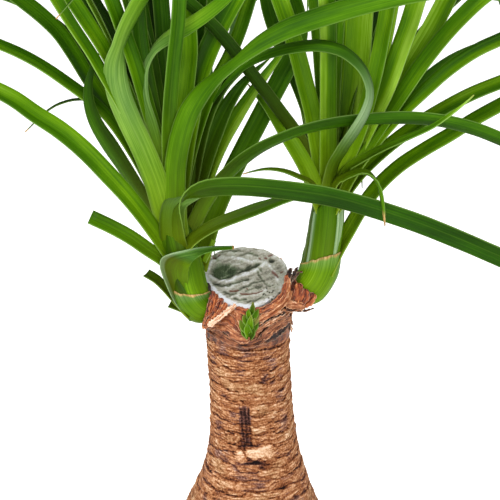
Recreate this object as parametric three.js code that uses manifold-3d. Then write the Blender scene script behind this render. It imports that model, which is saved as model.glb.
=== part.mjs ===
// Potted ponytail palm: a sawn-off trunk with two leafy shoots, set in soil in a plain clay pot.
// Millimetres, +Z up. The pot stands on z = 0, and the photograph looks along +Y.

import * as THREE from 'three';
import { LoftGeometry } from 'three/addons/geometries/LoftGeometry.js';
import { mergeVertices } from 'three/addons/utils/BufferGeometryUtils.js';
import Module from 'manifold-3d';

const wasm = await Module();
wasm.setup();

const { degToRad, lerp } = THREE.MathUtils;
const fullTurn = 2 * Math.PI;
const gap = 0.3;

// The photograph is a frame of 500 x 500 pixels. A spot in it is [across, down] in those pixels
// and near, the distance in mm toward the viewer from the plane through the trunk.
const sight = {
  rise: degToRad(18),
  distance: 2000,
  pixel: 0.6,
  middle: 250,
  target: new THREE.Vector3(-1.8, 0, 405),
};
const toRight = new THREE.Vector3(1, 0, 0);
const toBack = new THREE.Vector3(0, 1, 0);
const toViewer = new THREE.Vector3(0, -Math.cos(sight.rise), Math.sin(sight.rise));
const sightUp = new THREE.Vector3(0, Math.sin(sight.rise), Math.cos(sight.rise));

// An eight-inch round flowerpot, tapered, with a rim band and three drain holes
const pot = {
  height: 185,
  baseRadius: 65,
  bandFoot: 150,
  bandFootRadius: 93,
  band: 6,
  topRadius: 102.5,
  wall: 8,
  floor: 10,
  edge: 2.5,
  sides: 48,
  drainRadius: 7,
  drainReach: 35,
  drainSides: 20,
  drains: 3,
};

const soil = { top: 161, lump: 1.4, crumb: 0.8, lumpSize: 7, crumbSize: 4, mound: 3, rings: 7 };

// Trunk axis offset and radius at each height, from the swollen foot in the soil to the cut
const trunk = {
  outline: [
    [118, 0, 22],
    [128, 0, 40],
    [142, 0, 51],
    [160, 0, 59],
    [185, -0.5, 62],
    [206, -1, 57],
    [226, -1, 48],
    [248, -0.6, 37.8],
    [263, 0.6, 31.8],
    [275, 0.6, 28.6],
    [285, 0.3, 26.4],
    [310, -1.2, 25],
    [335, -2.6, 24.6],
    [348, -3.3, 25.2],
    [372, -3.6, 25.4],
    [412, -4, 25.2],
  ],
  sides: 26,
  ease: 6,
  footStep: 9.2,
  barkFoot: 164,
  barkFade: 12,
  collarFoot: 352,
  collarSeat: 2.2,
};

// Ring scars climb and dip a little round the trunk
const scar = { step: 8, rise: 0.55, wave: 0.25, waveHeight: 37, ripple: 0.12, rippleHeight: 19 };

// The sawn top leans toward the viewer; across and down are where its middle shows
const cut = {
  across: 245,
  down: 278,
  near: -5.5,
  lean: degToRad(30),
  radius: 25.3,
  thick: 3.6,
  edge: 1.4,
  rim: 1.3,
  crown: 0.6,
  lump: 0.5,
  wrinkle: 0.35,
  sides: 30,
  rings: 6,
};

const collar = { rise: 0.9, scaleRows: 3, scalesRound: 7, scaleRise: 1.1, levels: 8, sides: 34 };

const blade = {
  thick: 1.3,
  thinnest: 0.6,
  gutter: 0.13,
  taper: 0.45,
  taperPower: 0.8,
  clasp: 0.25,
  claspFade: 20,
  droop: 0.007,
  droopStep: 12,
  nearStep: 34,
  farStep: 60,
  fewestSpans: 4,
  stepsPerSpan: 6,
};

const shoots = {
  left: {
    route: [
      [213, 306, -5],
      [199, 303, -2],
      [186, 290, 2],
      [178, 264, 6],
      [173, 236, 8],
      [170, 212, 5],
      [168, 190, 0],
    ],
    radii: [7, 11, 12.5, 13, 11.5, 8, 3],
    backMiddle: -22,
    backMix: 0.381,
  },
  right: {
    route: [
      [296, 292, -15],
      [309, 287, -12],
      [319, 270, -8],
      [323, 247, -5],
      [326, 222, -3],
      [328, 200, -2],
      [329, 178, -2],
    ],
    radii: [7, 10.5, 10.8, 9.8, 9.4, 8, 3],
    backMiddle: 24,
    backMix: 0.618,
  },
  sides: 12,
};

// Leaves that the photograph doesn't show grow at the back, at golden-angle steps
const backLeaves = {
  golden: 137.5,
  count: 10,
  lowest: 0.6,
  highest: 0.92,
  spread: 100,
  steepest: 80,
  flattest: 52,
  shortest: 400,
  longest: 560,
  narrow: 8.5,
  wide: 11.5,
  droop: 0.0065,
};

// Each leaf as it shows in the photograph, from its root in the shoot to the last spot in the frame:
// [across, down, near, turn], where a turn of 0 degrees faces the viewer and 90 faces up. Past the
// last spot it goes on to its full length, and a leaf without one ends there.
const leftLeaves = {
  frontArch: {
    wide: 12, long: 490,
    route: [
      [180, 262, 12, 150], [175, 238, 20, 140], [176, 214, 32, 120], [186, 196, 42, 70],
      [206, 187, 48, 35], [240, 185, 50, 25], [285, 189, 50, 25], [330, 196, 48, 25],
      [375, 208, 44, 25], [420, 223, 40, 25], [460, 239, 36, 25], [500, 256, 32, 25],
    ],
  },
  creased: {
    wide: 15,
    route: [
      [180, 268, 10, 165], [173, 244, 17, 165], [171, 218, 24, 165], [176, 200, 26, 150],
      [196, 194, 18, 110], [225, 190, 10, 90],
    ],
  },
  leftCut: {
    wide: 9.5, cut: true,
    route: [
      [190, 292, 10, 60], [178, 275, 14, 50], [163, 261, 18, 40], [147, 250, 21, 35],
      [130, 238, 24, 30], [110, 227, 26, 30], [92, 218, 27, 30],
    ],
  },
  foldSheath: {
    wide: 10, cut: true,
    route: [
      [193, 318, 12, 150], [180, 300, 18, 150], [169, 280, 20, 140], [165, 262, 20, 110],
      [176, 254, 17, 60], [192, 250, 13, 60], [210, 247, 8, 75], [232, 245, 4, 80],
    ],
  },
  dart: {
    wide: 6.5, cut: true,
    route: [
      [194, 318, 2, 60], [180, 302, 0, 50], [168, 288, -2, 45], [157, 278, -4, 40],
      [146, 273, -6, 40],
    ],
  },
  leftLong: {
    wide: 11.5, long: 470,
    route: [
      [184, 285, 8, 60], [170, 258, 12, 45], [152, 230, 16, 35], [132, 203, 22, 30],
      [110, 178, 27, 25], [85, 152, 32, 25], [60, 131, 35, 25], [35, 115, 36, 28],
      [12, 99, 36, 30], [-15, 86, 34, 35],
    ],
  },
  hook: {
    wide: 10.5,
    route: [
      [178, 262, 4, 120], [160, 228, 2, 125], [143, 200, 0, 135], [126, 172, -2, 145],
      [110, 147, -3, 155], [96, 124, -4, 165], [89, 104, -5, 170], [88, 85, -7, 165],
      [93, 66, -9, 155], [101, 50, -11, 140],
    ],
  },
  thread: {
    wide: 4,
    route: [
      [175, 244, 4, 90], [150, 182, -14, 100], [124, 138, -18, 100], [103, 108, -19, 90],
      [82, 100, -14, 60], [62, 103, -8, 50], [46, 112, -2, 50], [25, 132, 4, 50],
    ],
  },
  upLeft2: {
    wide: 9, long: 430,
    route: [
      [174, 240, 4, 60], [160, 212, 1, 55], [146, 180, 2, 50], [128, 147, 2, 48],
      [108, 118, 2, 45], [88, 99, 2, 45], [66, 83, 2, 45], [42, 67, 3, 45], [18, 54, 5, 45],
      [-8, 43, 6, 45],
    ],
  },
  upLeft3: {
    wide: 10.5, long: 450,
    route: [
      [173, 232, 5, 50], [160, 192, -6, 45], [146, 160, -7, 40], [128, 132, -7, 38],
      [108, 107, -6, 35], [90, 82, -5, 30], [74, 56, -2, 30], [58, 33, 0, 30],
      [38, 14, 2, 30], [15, -4, 5, 30],
    ],
  },
  upLeft4: {
    wide: 9, long: 440,
    route: [
      [171, 215, 4, 40], [157, 178, 13, 40], [138, 138, 25, 42], [120, 105, 33, 45],
      [104, 78, 41, 45], [90, 54, 46, 45], [74, 30, 53, 45], [60, 8, 58, 45],
      [48, -12, 64, 45],
    ],
  },
  dropTip: {
    wide: 6,
    route: [
      [171, 220, 3, 120], [167, 175, 3, 120], [160, 120, 4, 130], [148, 50, 12, 140],
      [130, -5, 24, 120], [105, -30, 32, 90], [85, -14, 31, 60], [70, 3, 29, 50],
      [56, 19, 28, 50],
    ],
  },
  fanA: {
    wide: 10, long: 440,
    route: [
      [172, 226, 5, 30], [152, 155, 12, 30], [134, 110, 21, 32], [118, 76, 29, 32],
      [102, 47, 35, 32], [86, 22, 42, 32], [70, -2, 48, 32],
    ],
  },
  fanB: {
    wide: 9.5, long: 430,
    route: [
      [172, 224, 4, 40], [155, 150, 6, 40], [140, 105, 10, 40], [126, 68, 14, 40],
      [110, 34, 17, 40], [94, 4, 20, 40], [84, -14, 22, 40],
    ],
  },
  fanC: {
    wide: 10, long: 450,
    route: [
      [171, 222, 4, 30], [158, 150, 11, 30], [146, 105, 21, 30], [134, 64, 30, 30],
      [121, 28, 39, 30], [110, -2, 46, 30],
    ],
  },
  fanD: {
    wide: 9, long: 430,
    route: [
      [171, 222, 3, 30], [160, 150, -6, 30], [151, 100, -2, 30], [142, 55, 2, 30],
      [132, 15, 5, 30], [126, -8, 7, 30],
    ],
  },
  broadLight: {
    wide: 14, long: 270,
    route: [
      [174, 240, 14, 165], [163, 208, 19, 165], [154, 178, 25, 168], [142, 148, 30, 172],
      [129, 120, 35, 178], [119, 94, 39, 185], [116, 70, 41, 205], [120, 50, 43, 245],
      [127, 30, 43, 240], [136, 12, 43, 235], [146, -6, 43, 230],
    ],
  },
  secondLight: {
    wide: 10.5, long: 225,
    route: [
      [172, 225, 10, 160], [163, 190, 14, 160], [157, 157, 17, 158], [149, 127, 20, 155],
      [141, 102, 22, 150], [139, 82, 24, 150], [143, 65, 25, 120], [152, 49, 26, 120],
      [166, 37, 29, 140], [184, 28, 36, 160], [203, 16, 43, 170], [220, 3, 48, 170],
      [234, -10, 52, 170],
    ],
  },
  centreFront: {
    wide: 13, long: 600,
    route: [
      [178, 255, 14, 165], [175, 225, 20, 165], [174, 195, 24, 168], [175, 165, 28, 170],
      [180, 137, 31, 172], [188, 112, 34, 165], [200, 92, 36, 150], [216, 75, 38, 135],
      [236, 59, 40, 135], [258, 43, 43, 145], [284, 29, 47, 155], [314, 18, 52, 160],
      [346, 8, 58, 160], [380, -1, 65, 160], [410, -8, 71, 160],
    ],
  },
  lime: {
    wide: 11, long: 400,
    route: [
      [173, 222, 6, 10], [176, 180, 9, 10], [179, 145, 10, 10], [183, 112, 11, 10],
      [187, 80, 12, 12], [190, 50, 12, 15], [188, 22, 12, 20], [182, -4, 12, 20],
    ],
  },
  limeLeft: {
    wide: 9, long: 420,
    route: [
      [171, 215, 8, 20], [169, 175, 16, 25], [168, 135, 24, 25], [170, 95, 32, 25],
      [173, 60, 39, 25], [177, 25, 45, 25], [179, -5, 50, 25],
    ],
  },
  innerA: {
    wide: 10, long: 430,
    route: [
      [171, 222, 3, 20], [160, 150, 7, 20], [150, 100, 17, 20], [141, 50, 27, 20],
      [136, 0, 38, 20],
    ],
  },
  innerB: {
    wide: 10, long: 430,
    route: [
      [171, 220, 1, 15], [164, 150, -9, 15], [158, 95, -5, 15], [152, 45, -2, 15],
      [148, -5, 1, 15],
    ],
  },
  innerC: {
    wide: 10, long: 430,
    route: [
      [172, 222, 2, 10], [170, 150, -2, 10], [168, 95, 4, 10], [164, 45, 8, 10],
      [160, -5, 13, 10],
    ],
  },
  innerD: {
    wide: 10, long: 430,
    route: [
      [174, 222, 2, 10], [182, 150, -9, 10], [190, 95, -5, 10], [196, 45, -1, 10],
      [200, -5, 4, 10],
    ],
  },
  darkRight: {
    wide: 11, long: 250,
    route: [
      [174, 226, 4, 15], [184, 170, 3, 15], [192, 125, 7, 15], [200, 85, 10, 15],
      [209, 52, 13, 15], [220, 22, 14, 15], [232, -6, 16, 15],
    ],
  },
  innerDark: {
    wide: 12,
    route: [
      [175, 236, 5, 20], [188, 190, -3, 20], [196, 150, -1, 20], [206, 115, 2, 22],
      [222, 88, 3, 25], [240, 70, 3, 30], [258, 54, 2, 30], [275, 40, 0, 35],
    ],
  },
  brightRight: {
    wide: 8.5,
    route: [
      [178, 248, 5, 30], [198, 205, 0, 30], [208, 172, -1, 30], [219, 143, -1, 30],
      [232, 118, -2, 30], [247, 95, -2, 30], [262, 76, -2, 30], [276, 58, -2, 30],
      [288, 40, 5, 35], [294, 30, 7, 40],
    ],
  },
  broadRight: {
    wide: 12.5, long: 420,
    route: [
      [196, 270, -2, 20], [204, 245, -5, 20], [214, 215, -8, 20], [228, 183, -9, 20],
      [243, 153, -9, 20], [258, 124, -9, 20], [271, 99, -9, 20], [283, 76, -10, 20],
      [295, 52, -11, 20], [299, 30, -12, 20], [295, 8, -14, 20], [287, -14, -16, 20],
    ],
  },
  longArch: {
    wide: 9.5, long: 600,
    route: [
      [184, 255, 8, 150], [192, 232, 11, 150], [203, 208, 15, 150], [218, 186, 20, 145],
      [236, 167, 25, 140], [256, 152, 30, 135], [278, 141, 34, 135], [302, 132, 38, 135],
      [330, 125, 41, 138], [362, 121, 43, 140], [395, 119, 44, 140], [425, 120, 44, 140],
      [452, 124, 43, 140], [478, 131, 41, 140], [503, 141, 38, 140],
    ],
  },
  lowRight: {
    wide: 8.5,
    route: [
      [182, 275, 16, 60], [184, 254, 19, 50], [196, 238, 22, 40], [215, 226, 24, 35],
      [240, 216, 26, 35], [265, 207, 27, 35], [290, 199, 27, 40], [316, 194, 26, 50],
      [338, 195, 24, 50],
    ],
  },
};
const rightLeaves = {
  bentShort: {
    wide: 7,
    route: [
      [328, 206, 0, 70], [337, 184, 12, 60], [347, 177, 20, 50], [358, 174, 30, 50],
      [368, 175, 40, 70], [376, 182, 47, 90], [380, 193, 50, 120], [383, 208, 50, 130],
      [385, 226, 49, 130],
    ],
  },
  paleTip: {
    wide: 6,
    route: [
      [329, 206, -1, 40], [345, 172, 12, 40], [362, 160, 22, 45], [385, 148, 33, 50],
      [410, 137, 42, 50], [432, 127, 49, 50], [450, 115, 54, 50], [463, 105, 57, 50],
      [474, 95, 59, 50],
    ],
  },
  loop: {
    wide: 9,
    route: [
      [327, 208, -1, 150], [333, 172, 14, 150], [343, 152, 32, 150], [356, 132, 46, 150],
      [367, 112, 55, 135], [372, 94, 58, 110], [368, 76, 57, 120], [358, 61, 53, 150],
      [342, 49, 49, 160], [320, 44, 44, 160], [296, 46, 38, 160], [272, 52, 31, 160],
      [250, 62, 24, 160], [234, 75, 17, 160], [222, 90, 11, 160],
    ],
  },
  upLeft: {
    wide: 8.5, long: 340,
    route: [
      [326, 200, 0, 150], [318, 176, 3, 150], [307, 152, 6, 150], [294, 131, 8, 150],
      [279, 111, 9, 150], [264, 91, 13, 150], [249, 71, 18, 150], [234, 51, 23, 150],
      [218, 32, 25, 150], [200, 14, 26, 150], [182, -2, 26, 150],
    ],
  },
  brightLeft: {
    wide: 10,
    route: [
      [325, 214, 0, 20], [314, 186, 10, 20], [305, 166, 12, 20], [294, 147, 9, 20],
      [282, 129, 4, 25], [270, 112, -2, 30], [259, 98, -7, 35], [248, 84, -10, 35],
    ],
  },
  thinLeft: {
    wide: 3.5,
    route: [
      [325, 206, 2, 40], [312, 184, 16, 40], [299, 177, 22, 40], [284, 171, 26, 40],
      [268, 169, 29, 40], [254, 171, 31, 40], [243, 174, 32, 40],
    ],
  },
  crownA: {
    wide: 10.5, long: 430,
    route: [
      [326, 205, -1, 12], [322, 170, 4, 12], [317, 140, 8, 12], [312, 112, 12, 12],
      [305, 85, 15, 12], [298, 58, 18, 12], [290, 30, 21, 12], [281, 4, 25, 12],
      [274, -16, 26, 12],
    ],
  },
  crownB: {
    wide: 10, long: 420,
    route: [
      [328, 205, -1, 8], [328, 170, 7, 8], [328, 135, 15, 8], [328, 100, 22, 8],
      [328, 70, 30, 8], [328, 40, 37, 8], [327, 10, 42, 8], [326, -14, 48, 8],
    ],
  },
  crownC: {
    wide: 13, long: 440,
    route: [
      [331, 205, -5, 10], [338, 170, -2, 10], [345, 135, 0, 10], [349, 105, 2, 10],
      [350, 75, 3, 10], [350, 45, 5, 10], [349, 15, 7, 10], [348, -12, 8, 10],
    ],
  },
  crownD: {
    wide: 10, long: 430,
    route: [
      [332, 200, 1, 25], [343, 165, 10, 25], [355, 132, 18, 25], [363, 100, 25, 25],
      [369, 70, 33, 25], [373, 40, 40, 25], [377, 10, 46, 25], [380, -14, 52, 25],
    ],
  },
  crownE: {
    wide: 9, long: 430,
    route: [
      [330, 212, -4, 25], [348, 162, -4, 25], [363, 125, -2, 25], [375, 90, -1, 25],
      [383, 55, 0, 25], [389, 25, 2, 25], [395, -8, 4, 25],
    ],
  },
  crownF: {
    wide: 10, long: 440,
    route: [
      [335, 200, -1, 25], [351, 162, 10, 25], [369, 125, 19, 25], [386, 90, 27, 25],
      [399, 55, 36, 25], [410, 25, 44, 25], [420, -8, 53, 25],
    ],
  },
  crownG: {
    wide: 10.5, long: 430,
    route: [
      [336, 200, 2, 30], [354, 162, 7, 30], [376, 124, 11, 30], [397, 88, 15, 30],
      [416, 56, 18, 30], [434, 26, 21, 30], [450, -4, 24, 30],
    ],
  },
  upRight1: {
    wide: 10.5, long: 450,
    route: [
      [330, 212, -1, 30], [356, 165, 14, 30], [380, 128, 21, 30], [402, 95, 27, 30],
      [424, 63, 33, 30], [448, 33, 38, 30], [474, 6, 43, 30], [498, -14, 47, 30],
    ],
  },
  upRight2: {
    wide: 10, long: 450,
    route: [
      [331, 212, 0, 40], [354, 172, 15, 40], [374, 145, 21, 40], [396, 119, 26, 40],
      [420, 96, 30, 40], [447, 72, 33, 40], [475, 53, 36, 40], [503, 40, 36, 40],
    ],
  },
  upRight3: {
    wide: 10.5, long: 430,
    route: [
      [330, 216, -2, 40], [352, 184, 7, 40], [370, 164, 10, 40], [392, 145, 13, 40],
      [418, 126, 16, 40], [446, 109, 18, 40], [475, 94, 20, 40], [505, 82, 21, 40],
    ],
  },
  upRight4: {
    wide: 10.5, long: 460,
    route: [
      [326, 275, -4, 40], [337, 253, -6, 40], [349, 232, -8, 40], [362, 210, -9, 40],
      [379, 187, -4, 40], [400, 167, 1, 40], [424, 151, 5, 40], [450, 136, 8, 40],
      [476, 120, 10, 40], [504, 105, 12, 40],
    ],
  },
};

// Papery dry scales that stand round the feet of the shoots, by the same four values
const dryScales = {
  leftShield: {
    wide: 15,
    route: [
      [206, 327, 2, 25], [211, 316, 9, 20], [215, 303, 11, 20], [216, 290, 9, 25],
    ],
  },
  leftTongue: {
    wide: 8,
    route: [
      [214, 329, 8, 30], [207, 327, 6, 25], [200, 326, 2, 20],
    ],
  },
  rightShield: {
    wide: 15,
    route: [
      [290, 305, -4, 30], [299, 298, -2, 25], [308, 288, -1, 20], [313, 279, -2, 20],
    ],
  },
  rightFlap: {
    wide: 9,
    route: [
      [286, 300, -1, 40], [296, 304, -1, 35], [308, 307, -4, 30],
    ],
  },
  rightTuft: {
    wide: 6,
    route: [
      [284, 292, -3, 20], [289, 280, -4, 15], [294, 267, -7, 15],
    ],
  },
};

// The front bud: a short stem wrapped in pointed bracts
const bud = {
  route: [[249, 336, 10], [248, 328, 15], [249, 319, 15], [251, 310, 13]],
  radii: [3, 5.4, 4, 1],
  sides: 10,
  bracts: {
    middle: { wide: 5.5, route: [[249, 327, 16, 10], [251, 315, 19, 0], [253, 303, 19, 0]] },
    left: { wide: 4.5, route: [[247, 331, 16, 10], [244, 324, 19, 0], [245, 315, 20, 0]] },
    right: { wide: 4.5, route: [[250, 331, 16, 10], [256, 322, 19, 0], [258, 311, 18, 0]] },
    lower: { wide: 5, route: [[248, 333, 15, 10], [243, 328, 19, 0], [240, 321, 18, 0]] },
  },
};

const looks = {
  pot: { color: 0xb9683f, roughness: 0.85, metalness: 0 },
  soil: { color: 0x3a2a1e, roughness: 0.95, metalness: 0 },
  trunk: { color: 0xa5704f, roughness: 0.85, metalness: 0 },
  cut_seal: { color: 0x8f8e7c, roughness: 0.8, metalness: 0 },
  dry_scales: { color: 0xa2622f, roughness: 0.7, metalness: 0 },
  left_head: { color: 0x4f8021, roughness: 0.45, metalness: 0 },
  right_head: { color: 0x47761b, roughness: 0.45, metalness: 0 },
  front_bud: { color: 0x5f9a22, roughness: 0.5, metalness: 0 },
};

function solidOf(geometry) {
  const plain = new THREE.BufferGeometry().copy(geometry);
  plain.deleteAttribute('normal');
  plain.deleteAttribute('uv');
  const merged = mergeVertices(plain, 1e-4);
  return new wasm.Manifold(new wasm.Mesh({
    numProp: 3,
    vertProperties: new Float32Array(merged.attributes.position.array),
    triVerts: new Uint32Array(merged.index.array),
  }));
}

function join(solids) {
  return solids.reduce((whole, next) => whole.add(next));
}

// Where blades cross they can leave a loose scrap or a sealed hollow: the body alone is kept
function body(solid) {
  const pieces = solid.decompose();
  return pieces.reduce((largest, piece) => (piece.volume() > largest.volume() ? piece : largest));
}

function meshOf(name, solid) {
  const { vertProperties, triVerts } = body(solid).getMesh();
  const geometry = new THREE.BufferGeometry();
  geometry.setAttribute('position', new THREE.BufferAttribute(vertProperties, 3));
  geometry.setIndex(new THREE.BufferAttribute(triVerts, 1));
  geometry.computeVertexNormals();
  const mesh = new THREE.Mesh(geometry, new THREE.MeshStandardMaterial(looks[name]));
  mesh.name = name;
  return mesh;
}

function spot([across, down, near]) {
  const scale = sight.pixel * (sight.distance - near) / sight.distance;
  return sight.target.clone()
    .addScaledVector(toViewer, near)
    .addScaledVector(toRight, (across - sight.middle) * scale)
    .addScaledVector(sightUp, (sight.middle - down) * scale);
}

function curveThrough(route) {
  return new THREE.CatmullRomCurve3(route.map(spot), false, 'catmullrom');
}

// The direction square to a leaf or stem that looks most toward the viewer
function facingOf(along) {
  return toViewer.clone().addScaledVector(along, -toViewer.dot(along)).normalize();
}

function loft(sections) {
  return solidOf(new LoftGeometry(sections, { capStart: true, capEnd: true }));
}

function ring(centre, radius, firstSide, secondSide, sides) {
  return Array.from({ length: sides }, (_, i) => {
    const angle = i / sides * fullTurn;
    const reach = typeof radius === 'function' ? radius(angle) : radius;
    return centre.clone()
      .addScaledVector(firstSide, reach * Math.cos(angle))
      .addScaledVector(secondSide, reach * Math.sin(angle));
  });
}

// A stem along a route of spots, its radius given at each of them
function stem({ route, radii }, sides, extra = 0) {
  const curve = curveThrough(route);
  const last = radii.length - 1;
  const steps = last * 2;
  const sections = [];
  for (let i = 0; i <= steps; i++) {
    const at = i / steps * last;
    const low = Math.min(Math.floor(at), last - 1);
    const radius = lerp(radii[low], radii[low + 1], at - low) + extra;
    const along = curve.getTangent(i / steps);
    const facing = facingOf(along);
    sections.push(ring(curve.getPoint(i / steps), radius, facing, along.clone().cross(facing), sides));
  }
  return loft(sections);
}

// A route followed in short steps, each with its point, its direction and the way its face looks
function follow(route) {
  const curve = curveThrough(route);
  const spans = route.length - 1;
  const steps = spans * blade.stepsPerSpan;
  const path = [];
  let upward = sightUp;
  for (let i = 0; i <= steps; i++) {
    const at = i / steps * spans;
    const low = Math.min(Math.floor(at), spans - 1);
    const turn = degToRad(lerp(route[low][3], route[low + 1][3], at - low));
    const along = curve.getTangent(i / steps);
    const facing = facingOf(along);
    const side = along.clone().cross(facing);
    upward = side.dot(upward) < 0 ? side.negate() : side;
    const face = facing.multiplyScalar(Math.cos(turn)).addScaledVector(upward, Math.sin(turn));
    path.push({ point: curve.getPoint(i / steps), along, face });
  }
  return path;
}

function lengthOf(path) {
  return path.slice(1).reduce((sum, step, i) => sum + step.point.distanceTo(path[i].point), 0);
}

// Past its last step a leaf goes on to its full length and bends down under its own weight
function droopOn(path, long, droop) {
  let { point, along, face } = path.at(-1);
  const across = along.clone().cross(face);
  for (let gone = lengthOf(path); gone < long; gone += blade.droopStep) {
    along = along.clone();
    along.z -= droop * blade.droopStep;
    along.normalize();
    point = point.clone().addScaledVector(along, blade.droopStep);
    across.addScaledVector(along, -across.dot(along)).normalize();
    path.push({ point, along, face: across.clone().cross(along) });
  }
  return path;
}

function atLength(path, want) {
  let gone = 0;
  for (let i = 1; i < path.length; i++) {
    const stretch = path[i].point.distanceTo(path[i - 1].point);
    if (gone + stretch >= want || i === path.length - 1) {
      const share = Math.min((want - gone) / stretch, 1);
      return {
        point: path[i - 1].point.clone().lerp(path[i].point, share),
        along: path[i - 1].along.clone().lerp(path[i].along, share).normalize(),
        face: path[i - 1].face.clone().lerp(path[i].face, share),
      };
    }
    gone += stretch;
  }
  return path.at(-1);
}

// A gutter-shaped blade with four corners to a section, split alike on both faces
function bladeOn(path, wide, sketched, cutOff = false) {
  const long = lengthOf(path);
  const nearStep = Math.min(blade.nearStep, long / blade.fewestSpans);
  const stops = [];
  for (let at = 0; at < long - nearStep / 2; at += at < sketched ? nearStep : blade.farStep) {
    stops.push(at);
  }
  stops.push(long);
  const sections = stops.map((at) => {
    const { point, along, face } = atLength(path, at);
    const across = along.clone().cross(face).normalize();
    const up = across.clone().cross(along).normalize();
    const taper = cutOff ? 1 : Math.min((long - at) / (blade.taper * long), 1) ** blade.taperPower;
    const clasp = 1 + blade.clasp * Math.exp(-at / blade.claspFade);
    const width = Math.max(wide * taper * clasp, blade.thinnest);
    const thick = Math.max(Math.min(blade.thick, width / 3), blade.thinnest);
    const edge = point.clone().addScaledVector(up, blade.gutter * width);
    return [
      edge.clone().addScaledVector(across, -width / 2),
      point.clone().addScaledVector(up, thick / 2),
      edge.clone().addScaledVector(across, width / 2),
      point.clone().addScaledVector(up, -thick / 2),
    ];
  });
  const geometry = new LoftGeometry(sections, { capStart: true, capEnd: true });
  splitUndersideAlike(geometry.index.array, sections.length - 1);
  return solidOf(geometry);
}

// Each span has four quads of two triangles, and the last two quads are the underside
function splitUndersideAlike(index, spans) {
  for (let span = 0; span < spans; span++) {
    for (const quad of [2, 3]) {
      const start = (span * 4 + quad) * 6;
      const [a, b, d, , c] = index.slice(start, start + 6);
      index.set([a, b, c, a, c, d], start);
    }
  }
}

function leafOf({ wide, long = 0, cut: cutOff, route }) {
  const path = follow(route);
  const sketched = lengthOf(path);
  return bladeOn(droopOn(path, long, blade.droop), wide, sketched, cutOff);
}

// Back leaves leave the shoot between its neck and its tip and turn over steps of the golden angle
function backLeavesOf(shoot) {
  const curve = curveThrough(shoot.route);
  return Array.from({ length: backLeaves.count }, (_, i) => {
    const share = i / (backLeaves.count - 1);
    const mixed = (i * shoot.backMix) % 1;
    const swing = (i * backLeaves.golden) % backLeaves.spread;
    const heading = degToRad(swing - backLeaves.spread / 2 + shoot.backMiddle);
    const steep = degToRad(lerp(backLeaves.flattest, backLeaves.steepest, share));
    const level = Math.cos(steep);
    const along = new THREE.Vector3(
      Math.sin(heading) * level,
      Math.cos(heading) * level,
      Math.sin(steep),
    );
    const across = new THREE.Vector3(Math.cos(heading), -Math.sin(heading), 0);
    const point = curve.getPoint(lerp(backLeaves.lowest, backLeaves.highest, share));
    const path = [{ point, along, face: across.clone().cross(along) }];
    const long = lerp(backLeaves.shortest, backLeaves.longest, mixed);
    const wide = lerp(backLeaves.narrow, backLeaves.wide, 1 - mixed);
    return bladeOn(droopOn(path, long, backLeaves.droop), wide, 0);
  });
}

// Trunk axis offset and radius at a height, eased over a short stretch
function trunkAt(height) {
  const { outline, ease } = trunk;
  const sample = (z, column) => {
    const passed = outline.filter((row) => row[0] <= z).length;
    const high = Math.min(Math.max(passed, 1), outline.length - 1);
    const [below, above] = [outline[high - 1], outline[high]];
    const share = THREE.MathUtils.clamp((z - below[0]) / (above[0] - below[0]), 0, 1);
    return lerp(below[column], above[column], share);
  };
  const eased = (column) => (
    sample(height - ease, column) + 2 * sample(height, column) + sample(height + ease, column)
  ) / 4;
  return { offset: eased(1), radius: eased(2) };
}

function trunkRing(height, reach, sides) {
  const { offset } = trunkAt(height);
  return ring(new THREE.Vector3(offset, 0, height), reach, toRight, toBack, sides);
}

function ringScar(height, angle) {
  const wave = scar.wave * Math.sin(angle + height / scar.waveHeight);
  const ripple = scar.ripple * Math.sin(3 * angle - height / scar.rippleHeight);
  return scar.rise * Math.sin(fullTurn * (height / scar.step + wave + ripple));
}

function trunkSolid(extra) {
  const top = trunk.outline.at(-1)[0];
  const foot = trunk.outline[0][0];
  const barkStep = scar.step / 2;
  const sections = [];
  for (let height = foot; height < trunk.barkFoot; height += trunk.footStep) {
    sections.push(trunkRing(height, trunkAt(height).radius + extra, trunk.sides));
  }
  for (let height = trunk.barkFoot; height < trunk.collarFoot; height += barkStep) {
    const radius = trunkAt(height).radius + extra;
    const fade = Math.min((height - trunk.barkFoot) / trunk.barkFade, 1);
    sections.push(trunkRing(height, (angle) => radius + fade * ringScar(height, angle), trunk.sides));
  }
  for (const height of [trunk.collarFoot, top]) {
    sections.push(trunkRing(height, trunkAt(height).radius - trunk.collarSeat + extra, trunk.sides));
  }
  return loft(sections);
}

// Sleeve of dry leaf bases round the top of the trunk, its scales raised in staggered rows
function collarSleeve() {
  const foot = trunk.collarFoot + gap;
  const top = trunk.outline.at(-1)[0];
  const outer = [];
  for (let i = 0; i <= collar.levels; i++) {
    const height = lerp(foot, top, i / collar.levels);
    const { radius } = trunkAt(height);
    const reach = (angle) => {
      const row = i / collar.levels * collar.scaleRows + 0.5 * Math.sin(collar.scalesRound * angle);
      return radius + collar.rise - collar.scaleRise * (row - Math.floor(row));
    };
    outer.push(trunkRing(height, reach, collar.sides));
  }
  return loft(outer);
}

// Where the trunk's narrower top passes up through the dry leaf bases
function collarBore() {
  return loft([trunk.collarFoot - collar.rise, trunk.outline.at(-1)[0] + collar.rise].map((height) => {
    const reach = trunkAt(height).radius - trunk.collarSeat + gap;
    return trunkRing(height, reach, trunk.sides);
  }));
}

// Everything above the sawn plane, down by the given depth along its slope
function aboveCut(depth) {
  const size = 400;
  const box = new THREE.BoxGeometry(size, size, size);
  box.translate(0, 0, size / 2 - depth);
  box.applyMatrix4(cutPlace());
  return solidOf(box);
}

function cutPlace() {
  const place = new THREE.Matrix4().makeRotationX(cut.lean);
  return place.setPosition(spot([cut.across, cut.down, cut.near]));
}

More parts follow.
